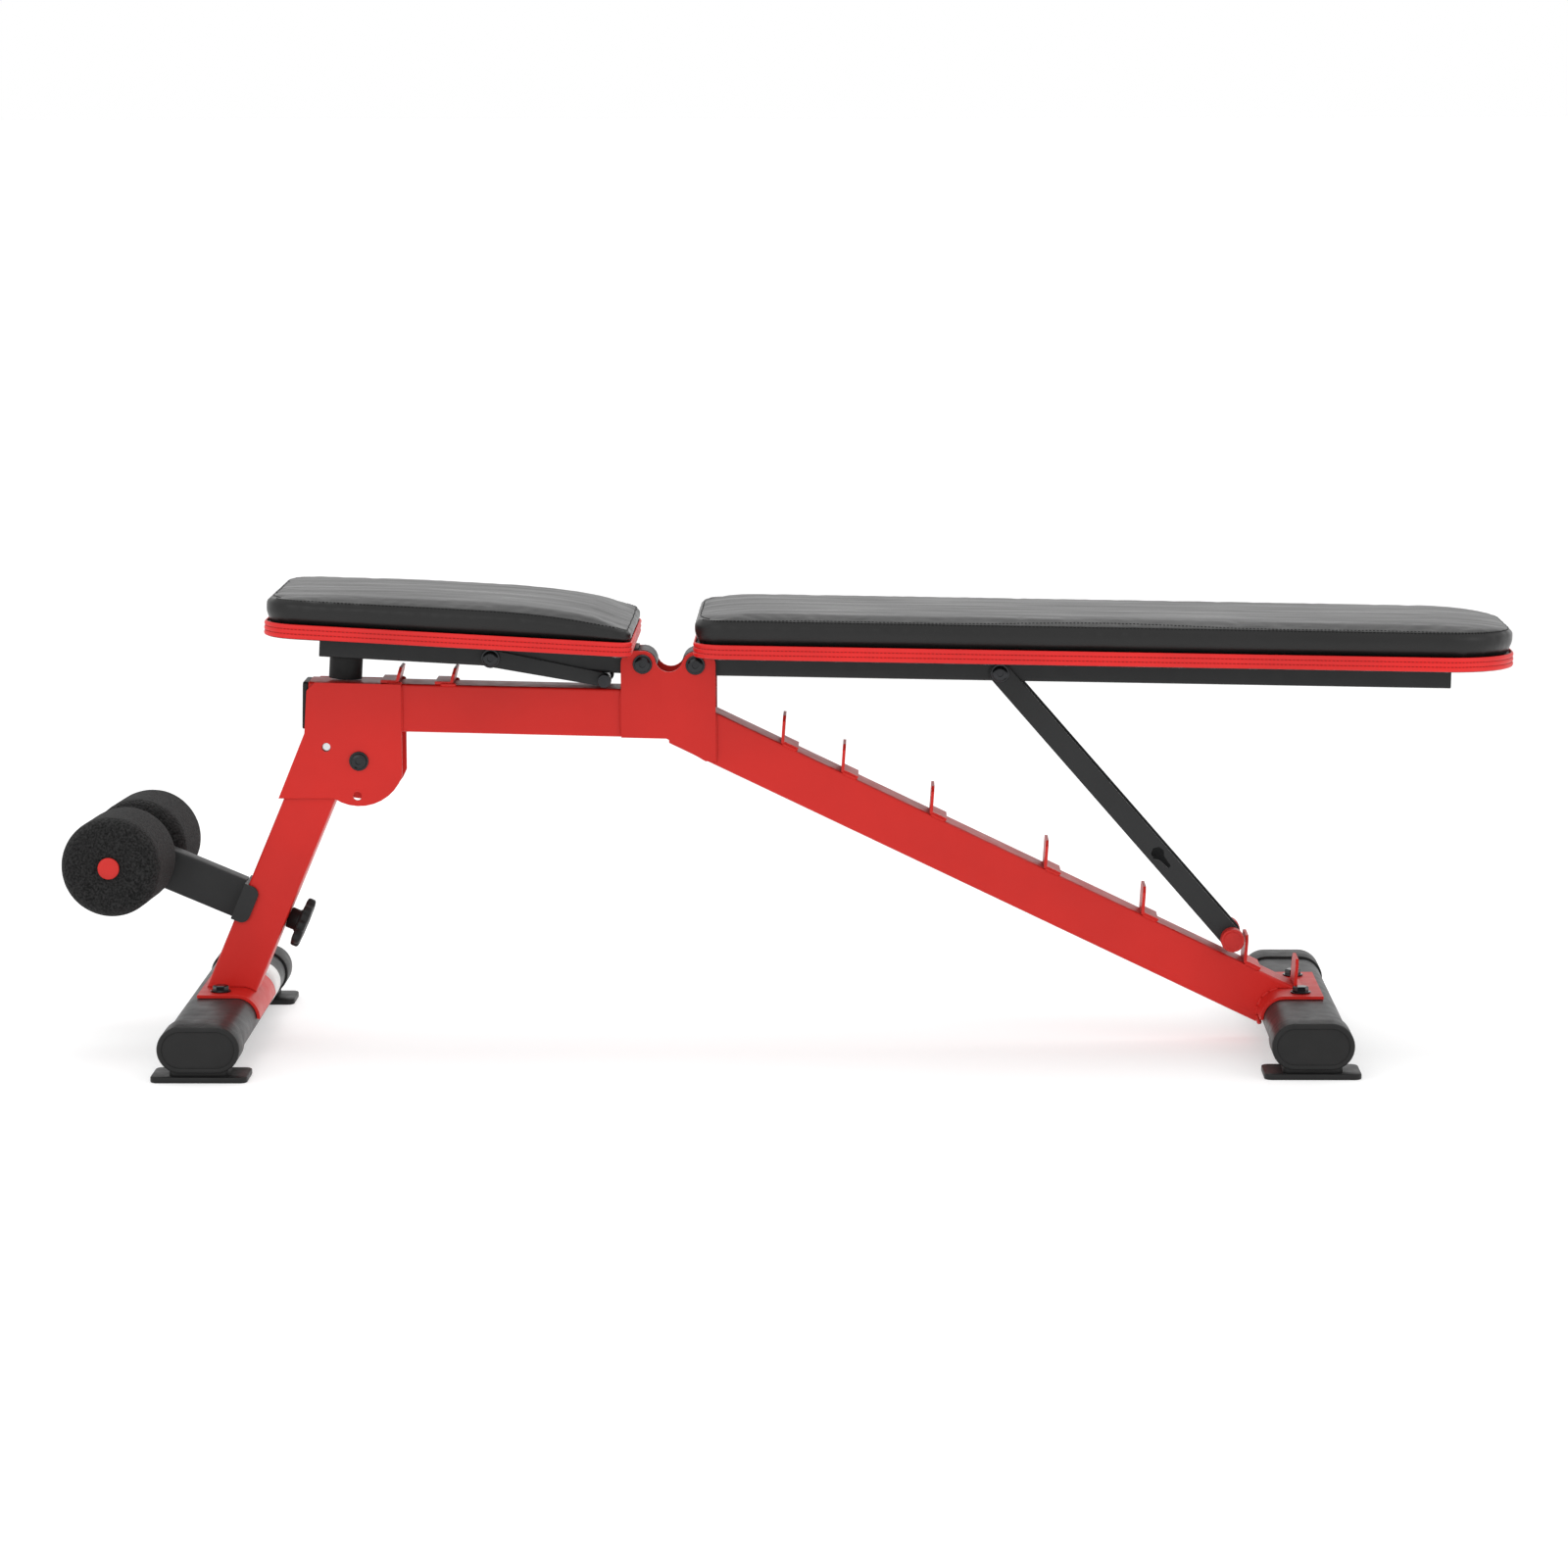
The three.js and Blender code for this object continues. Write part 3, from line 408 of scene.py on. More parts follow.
def plan_of(which):
    """The trim's plan in the cushion's frame: low and high X, half width, corner radii and trim heights."""
    points = local_points(which + "_trim", cushion_frame(which))
    low, high = points.min(0), points.max(0)
    first, second = CORNERS[which]
    # The +X end of either cushion takes the second radius.
    return {
        "low": low[0],
        "high": high[0],
        "half": high[1],
        "first": first,
        "second": second,
        "bottom": low[2],
        "top": high[2],
    }


def outline(plan, inset, step):
    """Evenly spaced (point, outward normal) pairs round the plan, pulled in by inset."""
    half = plan["half"] - inset
    low, high = plan["low"] + inset, plan["high"] - inset
    pairs = []
    corners = (
        (high, 1, 1, plan["second"], 0),
        (low, -1, 1, plan["first"], 90),
        (low, -1, -1, plan["first"], 180),
        (high, 1, -1, plan["second"], 270),
    )
    for x, side_x, side_y, radius, start in corners:
        r = radius - inset
        centre = Vector((x - side_x * r, side_y * (half - r), 0))
        count = max(4, round(r * math.pi / 2 / step))
        for i in range(count + 1):
            a = math.radians(start + 90 * i / count)
            normal = Vector((math.cos(a), math.sin(a), 0))
            pairs.append((centre + normal * r, normal))
    full = []
    for (p, n), (q, m) in zip(pairs, pairs[1:] + pairs[:1]):
        steps = max(1, round((q - p).length / step))
        for i in range(steps):
            full.append((p.lerp(q, i / steps), n.lerp(m, i / steps).normalized()))
    return full


def seam_height(which, plan, x):
    share = (x - plan["low"]) / (plan["high"] - plan["low"])
    drop = SEAM_DROP[which] * max(0, (share - SEAM_DROP_FROM) / (1 - SEAM_DROP_FROM)) ** 2
    return plan["bottom"] + SEAM_ABOVE_TRIM - drop


def vertices_of(obj):
    return np.array([v.co for v in obj.data.vertices])


def move_vertices(obj, points):
    obj.data.vertices.foreach_set("co", points.ravel())
    obj.data.update()


def inflate(obj, held, cap):
    """Blows the cover up with cloth physics: held is each vertex's hold, and cap the most it may move."""
    group = obj.vertex_groups.new(name="held")
    for i, weight in enumerate(held):
        if weight > 0:
            group.add([i], float(weight), "REPLACE")
    cloth = obj.modifiers.new("cover", "CLOTH")
    settings = cloth.settings
    settings.quality = 6
    settings.use_pressure = True
    settings.uniform_pressure_force = 4
    settings.tension_stiffness = 12
    settings.compression_stiffness = 6
    settings.bending_stiffness = 0.8
    settings.shrink_min = -0.005
    settings.effector_weights.gravity = 0
    settings.vertex_group_mass = "held"
    scene = bpy.context.scene
    cloth.point_cache.frame_start, cloth.point_cache.frame_end = 1, CLOTH_FRAMES
    for moment in range(1, CLOTH_FRAMES + 1):
        scene.frame_set(moment)
    evaluated = obj.evaluated_get(bpy.context.evaluated_depsgraph_get())
    puffed = np.array([v.co for v in evaluated.data.vertices])
    start = vertices_of(obj)
    move = puffed - start
    length = np.linalg.norm(move, axis=1, keepdims=True)
    obj.modifiers.remove(cloth)
    scene.frame_set(1)
    move_vertices(obj, start + move * np.minimum(1, cap / np.maximum(length, 1e-9)))


def applied(obj):
    """The object's mesh with its modifiers applied and removed."""
    evaluated = obj.evaluated_get(bpy.context.evaluated_depsgraph_get())
    obj.data = bpy.data.meshes.new_from_object(evaluated)
    obj.modifiers.clear()


def bell(distance, width):
    return np.exp(-((distance / width) ** 2))


def edge_distance(plan, points):
    """Each point's distance in from the plan's edge, and the way out to it."""
    towards_high = points[:, 0] > (plan["low"] + plan["high"]) / 2
    end = np.where(towards_high, plan["high"] - points[:, 0], points[:, 0] - plan["low"])
    side = plan["half"] - np.abs(points[:, 1])
    radius = np.where(towards_high, plan["second"], plan["first"])
    in_corner = (end < radius) & (side < radius)
    from_end, from_side = radius - end, radius - side
    reach = np.maximum(np.hypot(from_end, from_side), 1e-9)
    distance = np.where(in_corner, radius - reach, np.minimum(end, side))
    out_x = np.where(in_corner, from_end / reach, end < side) * np.where(towards_high, 1, -1)
    out_y = np.where(in_corner, from_side / reach, side <= end) * np.sign(points[:, 1])
    return distance, np.stack([out_x, out_y], 1)


def depth_below(mesh, plan, points):
    """How far each point lies under the top of the CAD cushion."""
    tree = BVHTree.FromPolygons([v.co for v in mesh.vertices], [tuple(p.vertices) for p in mesh.polygons])
    distance, outward = edge_distance(plan, points)
    inside = points[:, :2] - outward * np.clip(3 * MM - distance, 0, None)[:, None]
    depth = np.zeros(len(points))
    for i, (x, y) in enumerate(inside):
        hit = tree.ray_cast(Vector((x, y, 1)), Vector((0, 0, -1)))[0]
        if hit:
            depth[i] = hit.z - points[i, 2]
    return depth


def panel_rise(which, plan, points, across):
    """How far the top panel stands above the seam, across metres in from it."""
    shoulder = np.sqrt(1 - (1 - np.clip(across / SHOULDER, 0, 1)) ** 2)
    first, second = END_FALL[which]
    from_low = 1 - np.clip((points[:, 0] - plan["low"]) / first, 0, 1)
    from_high = 1 - np.clip((plan["high"] - points[:, 0]) / second, 0, 1)
    fall = (1 - END_SINK * from_low ** 1.5) * (1 - END_SINK * from_high ** 2)
    centre = 1 - np.clip(np.abs(points[:, 1]) / plan["half"], 0, 1) ** 2
    return shoulder * fall * (SHOULDER_RISE + CROWN_RISE * centre)


def seam_heights(which, plan, points):
    return np.array([seam_height(which, plan, x) for x in points[:, 0]])


def shape_cover(which, cover, cad_mesh, plan):
    """Moves the remeshed vertices onto an upright side band and a crowned top. Returns each one's hold."""
    points = vertices_of(cover)
    seam = seam_heights(which, plan, points)
    distance, outward = edge_distance(plan, points)
    # Across runs up the side band, where it is below 0, and then inwards from 0 at the seam.
    across = distance - depth_below(cad_mesh, plan, points)
    stretch = (seam - plan["bottom"]) / (seam_height(which, plan, plan["low"]) - plan["bottom"])
    shaped = points.copy()
    shaped[:, 2] = seam + np.where(across < 0, across * stretch, panel_rise(which, plan, points, across))
    shaped[:, :2] += outward * (distance - np.clip(across, 0, None) - SIDE_INSET)[:, None]
    base = points.copy()
    base[:, :2] -= outward * SIDE_INSET
    at_base = points[:, 2] < points[:, 2].min() + BASE_HEIGHT
    shaped = np.where(at_base[:, None], base, shaped)
    move_vertices(cover, shaped)
    normals = np.array([v.normal for v in cover.data.vertices])
    near_seam = bell(shaped[:, 2] - seam, 3.2 * MM) * (np.abs(normals[:, 2]) < 0.97)
    return np.round(np.where(at_base, 1, 0.92 * near_seam), 3)


def make_cushion(which):
    """The vinyl cover, blown up from the CAD cushion. Its seam and its base are held."""
    name = which + "_cushion"
    to_world = cushion_frame(which)
    plan = plan_of(which)
    mesh = nodes[name].data.copy()
    mesh.transform(to_world.inverted())
    cover = bpy.data.objects.new(which + "_cushion_cover", mesh)
    bpy.context.scene.collection.objects.link(cover)
    remesh = cover.modifiers.new("remesh", "REMESH")
    remesh.mode = "VOXEL"
    remesh.voxel_size = VOXEL
    soften = cover.modifiers.new("soften", "SMOOTH")
    soften.factor = 0.5
    soften.iterations = 2
    applied(cover)

    held = shape_cover(which, cover, mesh, plan)
    inflate(cover, held, PUFF_CAP)
    smooth = cover.modifiers.new("smooth", "SUBSURF")
    smooth.levels = smooth.render_levels = 1
    applied(cover)
    dress_cover(which, cover, plan)
    cover.data.transform(to_world)
    cover.data.materials.clear()
    cover.data.materials.append(BLACK_VINYL)
    cover.data.polygons.foreach_set("use_smooth", [True] * len(cover.data.polygons))
    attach(cover, CUSHION_BODY[which])
    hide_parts(name)
    return cover


def dress_cover(which, cover, plan):
    """The sewn seam's groove and the fine pulls in the vinyl, as moves of the vertices."""
    points = vertices_of(cover)
    normals = np.array([v.normal for v in cover.data.vertices])
    above = points[:, 2] - seam_heights(which, plan, points)
    side = np.linalg.norm(normals[:, :2], axis=1)
    outward = normals[:, :2] / np.maximum(side, 1e-6)[:, None]
    # The thread pulls a groove in, and the folded edge above it stands out.
    groove = 1.3 * MM * bell(above, 1.6 * MM) - 0.7 * MM * bell(above - 3.6 * MM, 1.8 * MM)
    points[:, :2] -= outward * (groove * np.clip(side * 1.6, 0, 1))[:, None]
    top = np.clip((above - 2 * MM) / (6 * MM), 0, 1)
    band = np.clip(-above / (6 * MM), 0, 1) * np.clip((points[:, 2] - plan["top"]) / (4 * MM), 0, 1)
    by_seam = bell(above, 7 * MM)
    pulls = np.empty(len(points))
    for i, (x, y, z) in enumerate(points):
        broad = noise.noise(Vector((x * 6, y * 14, 3)))
        fine = noise.noise(Vector((x * 26 + y * 14, y * 52, z * 90 + 11)))
        pucker = noise.noise(Vector((x * 120, y * 120, 7)))
        on_top = top[i] * (0.12 * broad + 0.10 * fine)
        on_band = band[i] * (0.25 * fine + 0.2 * broad)
        pulls[i] = on_top + on_band + 0.3 * pucker * by_seam[i]
    move_vertices(cover, points + normals * (pulls * MM)[:, None])


def make_trim(which):
    """The ribbed vinyl strip round the board, with a stitched valley between each two ribs."""
    to_world = cushion_frame(which)
    plan = plan_of(which)
    path = outline(plan, 0, 3 * MM)
    height = plan["top"] - plan["bottom"]
    back_edge = -TRIM_PROUD + 0.2 * MM
    steps = 10 * RIBS
    profile = [(back_edge, 0.0)]
    for i in range(steps + 1):
        share = i / steps
        rib = abs(math.sin(RIBS * math.pi * share)) ** 0.55
        profile.append((RIB_DEPTH * (rib - 1), share * height))
    profile.append((back_edge, height))
    points = []
    for point, normal in path:
        for out, up in profile:
            points.append(to_world @ (point + normal * out + Vector((0, 0, plan["bottom"] + up))))
    faces = ring_faces(len(path), len(profile), close_rings=True, caps=False)
    trim = add_piece(which + "_trim_strip", points, faces, RED_VINYL, CUSHION_BODY[which])
    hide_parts(which + "_trim")
    for line in range(1, RIBS):
        up = Vector((0, 0, plan["bottom"] + height * line / RIBS))
        places = [(p - n * 0.95 * MM + up, n) for p, n in outline(plan, 0, 3.6 * MM)]
        make_stitches(f"{which}_trim_stitches_{line}", places, 2.3 * MM, 0.42 * MM, RED_THREAD, which)


def make_stitches(name, places, length, radius, material, which):
    """A closed row of short threads, each at a (point, outward normal) in the cushion's frame."""
    to_world = cushion_frame(which)
    steps = [
        (0.25 * radius, -0.5 * length),
        (radius, -0.3 * length),
        (radius, 0.3 * length),
        (0.25 * radius, 0.5 * length),
    ]
    parts = []
    for i, (point, _) in enumerate(places):
        along = (places[(i + 1) % len(places)][0] - places[i - 1][0]).normalized()
        parts.append(lathe(steps, point, along, around=6))
    points, faces = merged(parts)
    points = [to_world @ p for p in points]
    return add_piece(name, points, faces, material, CUSHION_BODY[which])


def make_seam_stitches(which, cover):
    """Rows of thread that follow the cover where the top panel is sewn to the side band."""
    to_world = cushion_frame(which)
    to_local = to_world.inverted()
    plan = plan_of(which)
    tree = BVHTree.FromObject(cover, bpy.context.evaluated_depsgraph_get())
    for row, lift in enumerate(SEAM_ROWS[which], 1):
        places = []
        for point, normal in outline(plan, 0, 3.4 * MM):
            share = (point.x - plan["low"]) / (plan["high"] - plan["low"])
            wave = math.sin(math.pi * share) * (1 + 0.35 * math.sin(5 * math.pi * share))
            height = seam_height(which, plan, point.x) + 1.2 * MM + lift * wave
            start = to_world @ (point + normal * 20 * MM + Vector((0, 0, height)))
            inwards = -(to_world.to_3x3() @ normal)
            hit, face_normal, _, _ = tree.ray_cast(start, inwards, 60 * MM)
            if hit:
                places.append((to_local @ hit, to_local.to_3x3() @ face_normal))
        make_stitches(f"{which}_seam_stitches_{row}", places, 2.2 * MM, 0.45 * MM, BLACK_THREAD, which)


def make_underside(which):
    """The lining under the board, with the staples that hold it."""
    to_world = cushion_frame(which)
    board = local_points(which + "_board", to_world)
    plan = plan_of(which)
    level = board[:, 2].min() - 0.25 * MM
    rim = outline(plan, 6 * MM, 6 * MM)
    points = [to_world @ (p + Vector((0, 0, level))) for p, _ in rim]
    points += [to_world @ (p + Vector((0, 0, level + 0.2 * MM))) for p, _ in rim]
    faces = ring_faces(2, len(rim))
    add_piece(which + "_underside_lining", points, faces, LINING, CUSHION_BODY[which])
    staple = [(0.1 * MM, -5 * MM), (0.35 * MM, -4.8 * MM), (0.35 * MM, 4.8 * MM), (0.1 * MM, 5 * MM)]
    parts = []
    for point, normal in outline(plan, 11 * MM, 34 * MM):
        centre = point + Vector((0, 0, level - 0.35 * MM))
        parts.append(lathe(staple, centre, normal.cross(Vector((0, 0, 1))), around=6))
    points, faces = merged(parts)
    points = [to_world @ p for p in points]
    add_piece(which + "_underside_staples", points, faces, ZINC_STEEL, CUSHION_BODY[which])


# ---- foot hold ----
def roller_axis():
    return Vector(joints["roller_far_spin"]["axis"]).normalized()


def make_roller(side, sign):
    node = "foam_roller_" + side
    centre = Vector(joints["roller_far_spin"]["pos_m"])
    inner, outer = ROLLER_ENDS
    core = ROLLER_RADIUS - ROLLER_EDGE
    steps = [(ROLLER_BORE, inner + 1 * MM), (core, inner)]
    steps += arc_steps(core, inner + ROLLER_EDGE, ROLLER_EDGE, -90, 0, 8)
    count = 26
    length = outer - inner - 2 * ROLLER_EDGE
    steps += [(ROLLER_RADIUS, inner + ROLLER_EDGE + length * i / count) for i in range(1, count)]
    steps += arc_steps(core, outer - ROLLER_EDGE, ROLLER_EDGE, 0, 90, 8)
    steps += [(ROLLER_BORE + 4 * MM, outer - 0.3 * MM), (ROLLER_BORE, outer - 1.5 * MM)]
    points, faces = lathe(steps, Vector((0, 0, 0)), (0, 1, 0), around=120)
    lumpy = []
    for p in points:
        dents = noise.noise(p * 26 + Vector((sign * 5, 0, 0)))
        swell = dents * 0.5 * MM + noise.noise(p * 260) * 0.22 * MM
        lumpy.append(p * (1 + swell / max(p.length, 0.02)))
    turn = Vector((0, 1, 0)).rotation_difference(roller_axis() * sign)
    points = [centre + turn @ p for p in lumpy]
    roller = add_piece("foam_grip_" + side, points, faces, FOAM, node)
    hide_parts(node)


def make_axle_cap(side, sign):
    node = "foot_hold_axle_cap_" + side
    centre = Vector(joints["roller_far_spin"]["pos_m"])
    face = ROLLER_ENDS[1] + 0.2 * MM
    steps = [(5.8 * MM, face - 13 * MM), (5.8 * MM, face), (10 * MM, face)]
    steps += arc_steps(8.6 * MM, face + 1 * MM, 1.4 * MM, 0, 80, 5)
    steps += [(6 * MM, face + 2.7 * MM), (2 * MM, face + 2.9 * MM), (0.2 * MM, face + 2.9 * MM)]
    points, faces = lathe(steps, centre, roller_axis() * sign, around=48)
    cap = add_piece("axle_end_cap_" + side, points, faces, RED_PLASTIC, "front_leg")
    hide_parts(node)


def make_knob():
    """A star knob: a domed disc with rounded lobes on a boss, and the stud that it clamps with."""
    joint = joints["knob_turn"]
    axis = Vector(joint["axis"]).normalized()
    inverse = Matrix.Rotation(LEG_LEAN, 4, "Y").inverted()
    pivot = Vector(joint["pos_m"])
    reach = np.array([inverse @ (v.co - pivot) for v in nodes["clamp_knob"].data.vertices])[:, 0]
    end, start = reach.max(), reach.min()
    disc, boss, lobes, radius = 8.6 * MM, 10 * MM, 8, 24 * MM
    around = 160
    # Rows as (share of the radius, distance from the knob's outer face).
    rows = [
        (0.86, -disc),
        (0.97, -disc + 0.7 * MM),
        (1.0, -disc + 2 * MM),
        (1.0, -2.4 * MM),
        (0.97, -1 * MM),
        (0.9, -0.3 * MM),
        (0.78, 0),
        (0.5, 0.1 * MM),
        (0.42, -0.9 * MM),
        (0.1, -0.9 * MM),
    ]
    side = Vector((0, 1, 0))
    other = axis.cross(side)
    points = []
    for share, along in rows:
        for i in range(around):
            a = 2 * math.pi * i / around
            wave = math.tanh(2.0 * math.cos(lobes * a))
            depth = 1.9 * MM * max(0, share - 0.5) / 0.5
            r = radius * share - depth * (1 - wave)
            points.append(pivot + axis * (end + along) + (side * math.cos(a) + other * math.sin(a)) * r)
    star = (points, ring_faces(len(rows), around))
    base = end - disc
    neck_steps = [
        (8.8 * MM, base - boss),
        (10 * MM, base - boss + 0.8 * MM),
        (10 * MM, base - 2 * MM),
        (12 * MM, base + 0.4 * MM),
    ]
    neck = lathe(neck_steps, pivot, axis, around=40)
    stud = lathe([(4.2 * MM, start), (4.2 * MM, base - boss + 0.3 * MM)], pivot, axis, around=24)
    points, faces = merged([star, neck, stud])
    knob = add_piece("star_knob", points, faces, BLACK_PLASTIC, "clamp_knob")
    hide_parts("clamp_knob")


# ---- fasteners ----
def hex_prism(centre, axis, across, low, high, chamfer, turn=0.0):
    """Points and faces of a six-sided prism with its high end chamfered."""
    axis = Vector(axis).normalized()
    side = axis.orthogonal().normalized()
    other = axis.cross(side)
    corner = across / math.sqrt(3)
    rows = [(corner, low), (corner, high - chamfer), (corner - chamfer * 1.4, high)]
    points = []
    for radius, along in rows:
        for i in range(6):
            a = turn + math.pi * i / 3
            points.append(centre + axis * along + (side * math.cos(a) + other * math.sin(a)) * radius)
    return points, ring_faces(len(rows), 6)


def washer_steps(radius, hole, low, thickness):
    """Lathe steps of a flat washer with rounded rims, closed by whatever stands on it."""
    high = low + thickness
    rim = 0.3 * MM
    return [
        (hole, low),
        (radius - rim, low),
        (radius, low + rim),
        (radius, high - rim),
        (radius - rim, high),
        (2 * MM, high),
    ]


def add_bolt(node, parts):
    points, faces = merged(parts)
    body = body_of_node[node]
    bolt = add_piece(node + "_detail", points, faces, BLACK_STEEL, body, smooth=False)
    smooth_by_angle(bolt)
    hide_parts(node)


def make_cross_bolt(node):
    """A button-head bolt with a washer at the near side and a capped nut at the far side."""
    low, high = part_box(node)
    centre = (low + high) / 2
    radius = (high.x - low.x) / 2
    reach = (high.y - low.y) / 2
    large = reach > 29 * MM
    grip = reach - (4.5 * MM if large else 3.5 * MM)
    shank = 4.9 * MM if large else 3.9 * MM
    on_washer = grip + 1.3 * MM
    parts = [lathe([(shank, -grip), (shank, grip)], centre, (0, 1, 0), around=32)]
    for sign in (-1, 1):
        axis = Vector((0, sign, 0))
        parts.append(lathe(washer_steps(radius, shank + 1 * MM, grip, 1.3 * MM), centre, axis, around=48))
        if sign < 0:
            head = radius - 1.6 * MM
            dome = [
                (head, on_washer),
                (head, on_washer + 0.6 * MM),
                (head - 0.5 * MM, reach - 1 * MM),
                (head - 1.7 * MM, reach - 0.3 * MM),
                (head - 3 * MM, reach),
                (2.9 * MM, reach),
                (2.7 * MM, reach - 1.9 * MM),
                (0.2 * MM, reach - 1.9 * MM),
            ]
            parts.append(lathe(dome, centre, axis, around=48))
        else:
            parts.append(hex_prism(centre, axis, 2 * radius - 4 * MM, on_washer, reach, 0.8 * MM))
    add_bolt(node, parts)


def make_prop_end(node, link, neck, material, edge, recess=0.0):
    """The round bar at a prop's foot: its neck passes through the link, and a plug's end face is sunk."""
    low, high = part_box(node)
    radius, reach = (high.z - low.z) / 2, (high.y - low.y) / 2
    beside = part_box(link)[1].y + 0.4 * MM
    steps = [(neck, 0.0), (neck, beside), (radius - 0.5 * MM, beside), (radius, beside + 0.5 * MM)]
    steps += arc_steps(radius - edge, reach - edge, edge, 0, 90)
    if recess:
        rim = 0.78 * radius
        steps += [(rim + 0.6 * MM, reach), (rim, reach - 0.3 * MM), (rim - 0.5 * MM, reach - recess)]
    steps.append((0.1 * MM, reach - recess))
    mirrored = [(r, -along) for r, along in reversed(steps[1:])]
    points, faces = lathe(mirrored + steps, (low + high) / 2, (0, 1, 0), around=72)
    part = add_piece(node + "_detail", points, faces, material, body_of_node[node], smooth=False)
    smooth_by_angle(part)
    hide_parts(node)


def make_saddle_bolt(node):
    """A hex head on a washer, over the shank through the saddle and the foot tube."""
    low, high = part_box(node)
    centre = (low + high) / 2
    axis = Vector((0, 0, 1))
    foot = high.z - centre.z - 6 * MM
    on_washer = foot + 1.4 * MM
    washer = [
        (5 * MM, foot),
        (9.2 * MM, foot),
        (9.5 * MM, foot + 0.3 * MM),
        (9.5 * MM, foot + 1.1 * MM),
        (9.1 * MM, on_washer),
        (3 * MM, on_washer),
    ]
    parts = [
        lathe([(4.9 * MM, low.z - centre.z), (4.9 * MM, foot)], centre, axis, around=28),
        lathe(washer, centre, axis, around=44),
        hex_prism(centre, axis, 13 * MM, on_washer, foot + 6 * MM, 0.8 * MM, turn=0.3),
    ]
    add_bolt(node, parts)


def smooth_by_angle(obj, degrees=32):
    """Smooth shading that keeps the sharp edges sharp."""
    mesh = obj.data
    work = bmesh.new()
    work.from_mesh(mesh)
    limit = math.radians(degrees)
    for face in work.faces:
        face.smooth = True
    for edge in work.edges:
        edge.smooth = len(edge.link_faces) == 2 and edge.calc_face_angle() < limit
    work.to_mesh(mesh)
    work.free()


# ---- feet ----
def oval_point(width, height, angle):
    """A point of a stadium of that width and height, at a turn from 0 to 1 along its edge."""
    radius = height / 2
    straight = width - height
    length = 2 * straight + 2 * math.pi * radius
    s = (angle % 1) * length
    if s < straight:
        return Vector((s - straight / 2, 0, radius))
    s -= straight
    if s < math.pi * radius:
        a = s / radius
        return Vector((straight / 2 + radius * math.sin(a), 0, radius * math.cos(a)))
    s -= math.pi * radius
    if s < straight:
        return Vector((straight / 2 - s, 0, -radius))
    a = (s - straight) / radius
    return Vector((-straight / 2 - radius * math.sin(a), 0, -radius * math.cos(a)))


def oval_loft(centre, rows, around=96):
    """A solid from (inset, y) rows about an oval cap's own size."""
    points = []
    for inset, y in rows:
        for i in range(around):
            p = oval_point(CAP_WIDTH - 2 * inset, CAP_HEIGHT - 2 * inset, i / around)
            points.append(centre + p + Vector((0, y, 0)))
    return points, ring_faces(len(rows), around)


def make_foot_cap(foot, side, sign, body):
    """A moulded cup with a raised rim round its oval end panel, on a flat rounded pad."""
    node = f"{foot}_foot_cap_{side}"
    low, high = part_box(node)
    x = (low.x + high.x) / 2
    face = low.y if sign < 0 else high.y
    centre = Vector((x, face, FOOT_Z))
    shell = oval_loft(centre, [(inset * MM, -sign * y * MM) for inset, y in CAP_ROWS])
    plate_y = sorted((face, face - sign * 50 * MM))
    plate = rounded_slab(low.x, high.x, *plate_y, 0, 5.6 * MM, 7 * MM)
    neck_y = sorted((face - sign * 4 * MM, face - sign * 39 * MM))
    neck = rounded_slab(x - 27 * MM, x + 27 * MM, *neck_y, 4.8 * MM, 14 * MM, 5 * MM)
    points, faces = merged([shell, plate, neck])
    name, slot = node + "_moulding", "black_moulded_plastic"
    cap = add_piece(name, points, faces, BLACK_PLASTIC, body, smooth=False)
    smooth_by_angle(cap, 40)
    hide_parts(node)


def rounded_slab(low_x, high_x, low_y, high_y, low_z, high_z, corner, edge=1.2 * MM):
    """A flat slab with rounded corners in plan and rounded upper and lower edges."""
    rows = [
        (edge, low_z),
        (0.3 * edge, low_z + 0.3 * edge),
        (0, low_z + edge),
        (0, high_z - edge),
        (0.3 * edge, high_z - 0.3 * edge),
        (edge, high_z),
    ]
    points = []
    steps = 7
    for inset, z in rows:
        for side_x, side_y, start in ((1, 1, 0), (-1, 1, 90), (-1, -1, 180), (1, -1, 270)):
            x = (high_x if side_x > 0 else low_x) - side_x * corner
            y = (high_y if side_y > 0 else low_y) - side_y * corner
            for i in range(steps):
                a = math.radians(start + 90 * i / (steps - 1))
                reach = corner - inset
                points.append(Vector((x + reach * math.cos(a), y + reach * math.sin(a), z)))
    return points, ring_faces(len(rows), 4 * steps)


def make_foot_tube(foot, body):
    """The oval tube with smooth sides, open at both ends inside its caps."""
    node = foot + "_foot_tube"
    low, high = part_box(node)
    centre = Vector(((low.x + high.x) / 2, 0, FOOT_Z))
    width, height = high.x - low.x, high.z - low.z
    around = 96
    wall = 2 * MM
    points = []
    rows = ((0, low.y), (0, high.y), (wall, high.y), (wall, low.y))
    for inset, y in rows:
        for i in range(around):
            p = oval_point(width - 2 * inset, height - 2 * inset, i / around)
            points.append(centre + p + Vector((0, y, 0)))
    faces = ring_faces(len(rows), around, close_rings=True, caps=False)
    tube = add_piece(node + "_round", points, faces, BLACK_COAT, body, smooth=False)
    smooth_by_angle(tube, 40)
    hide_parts(node)


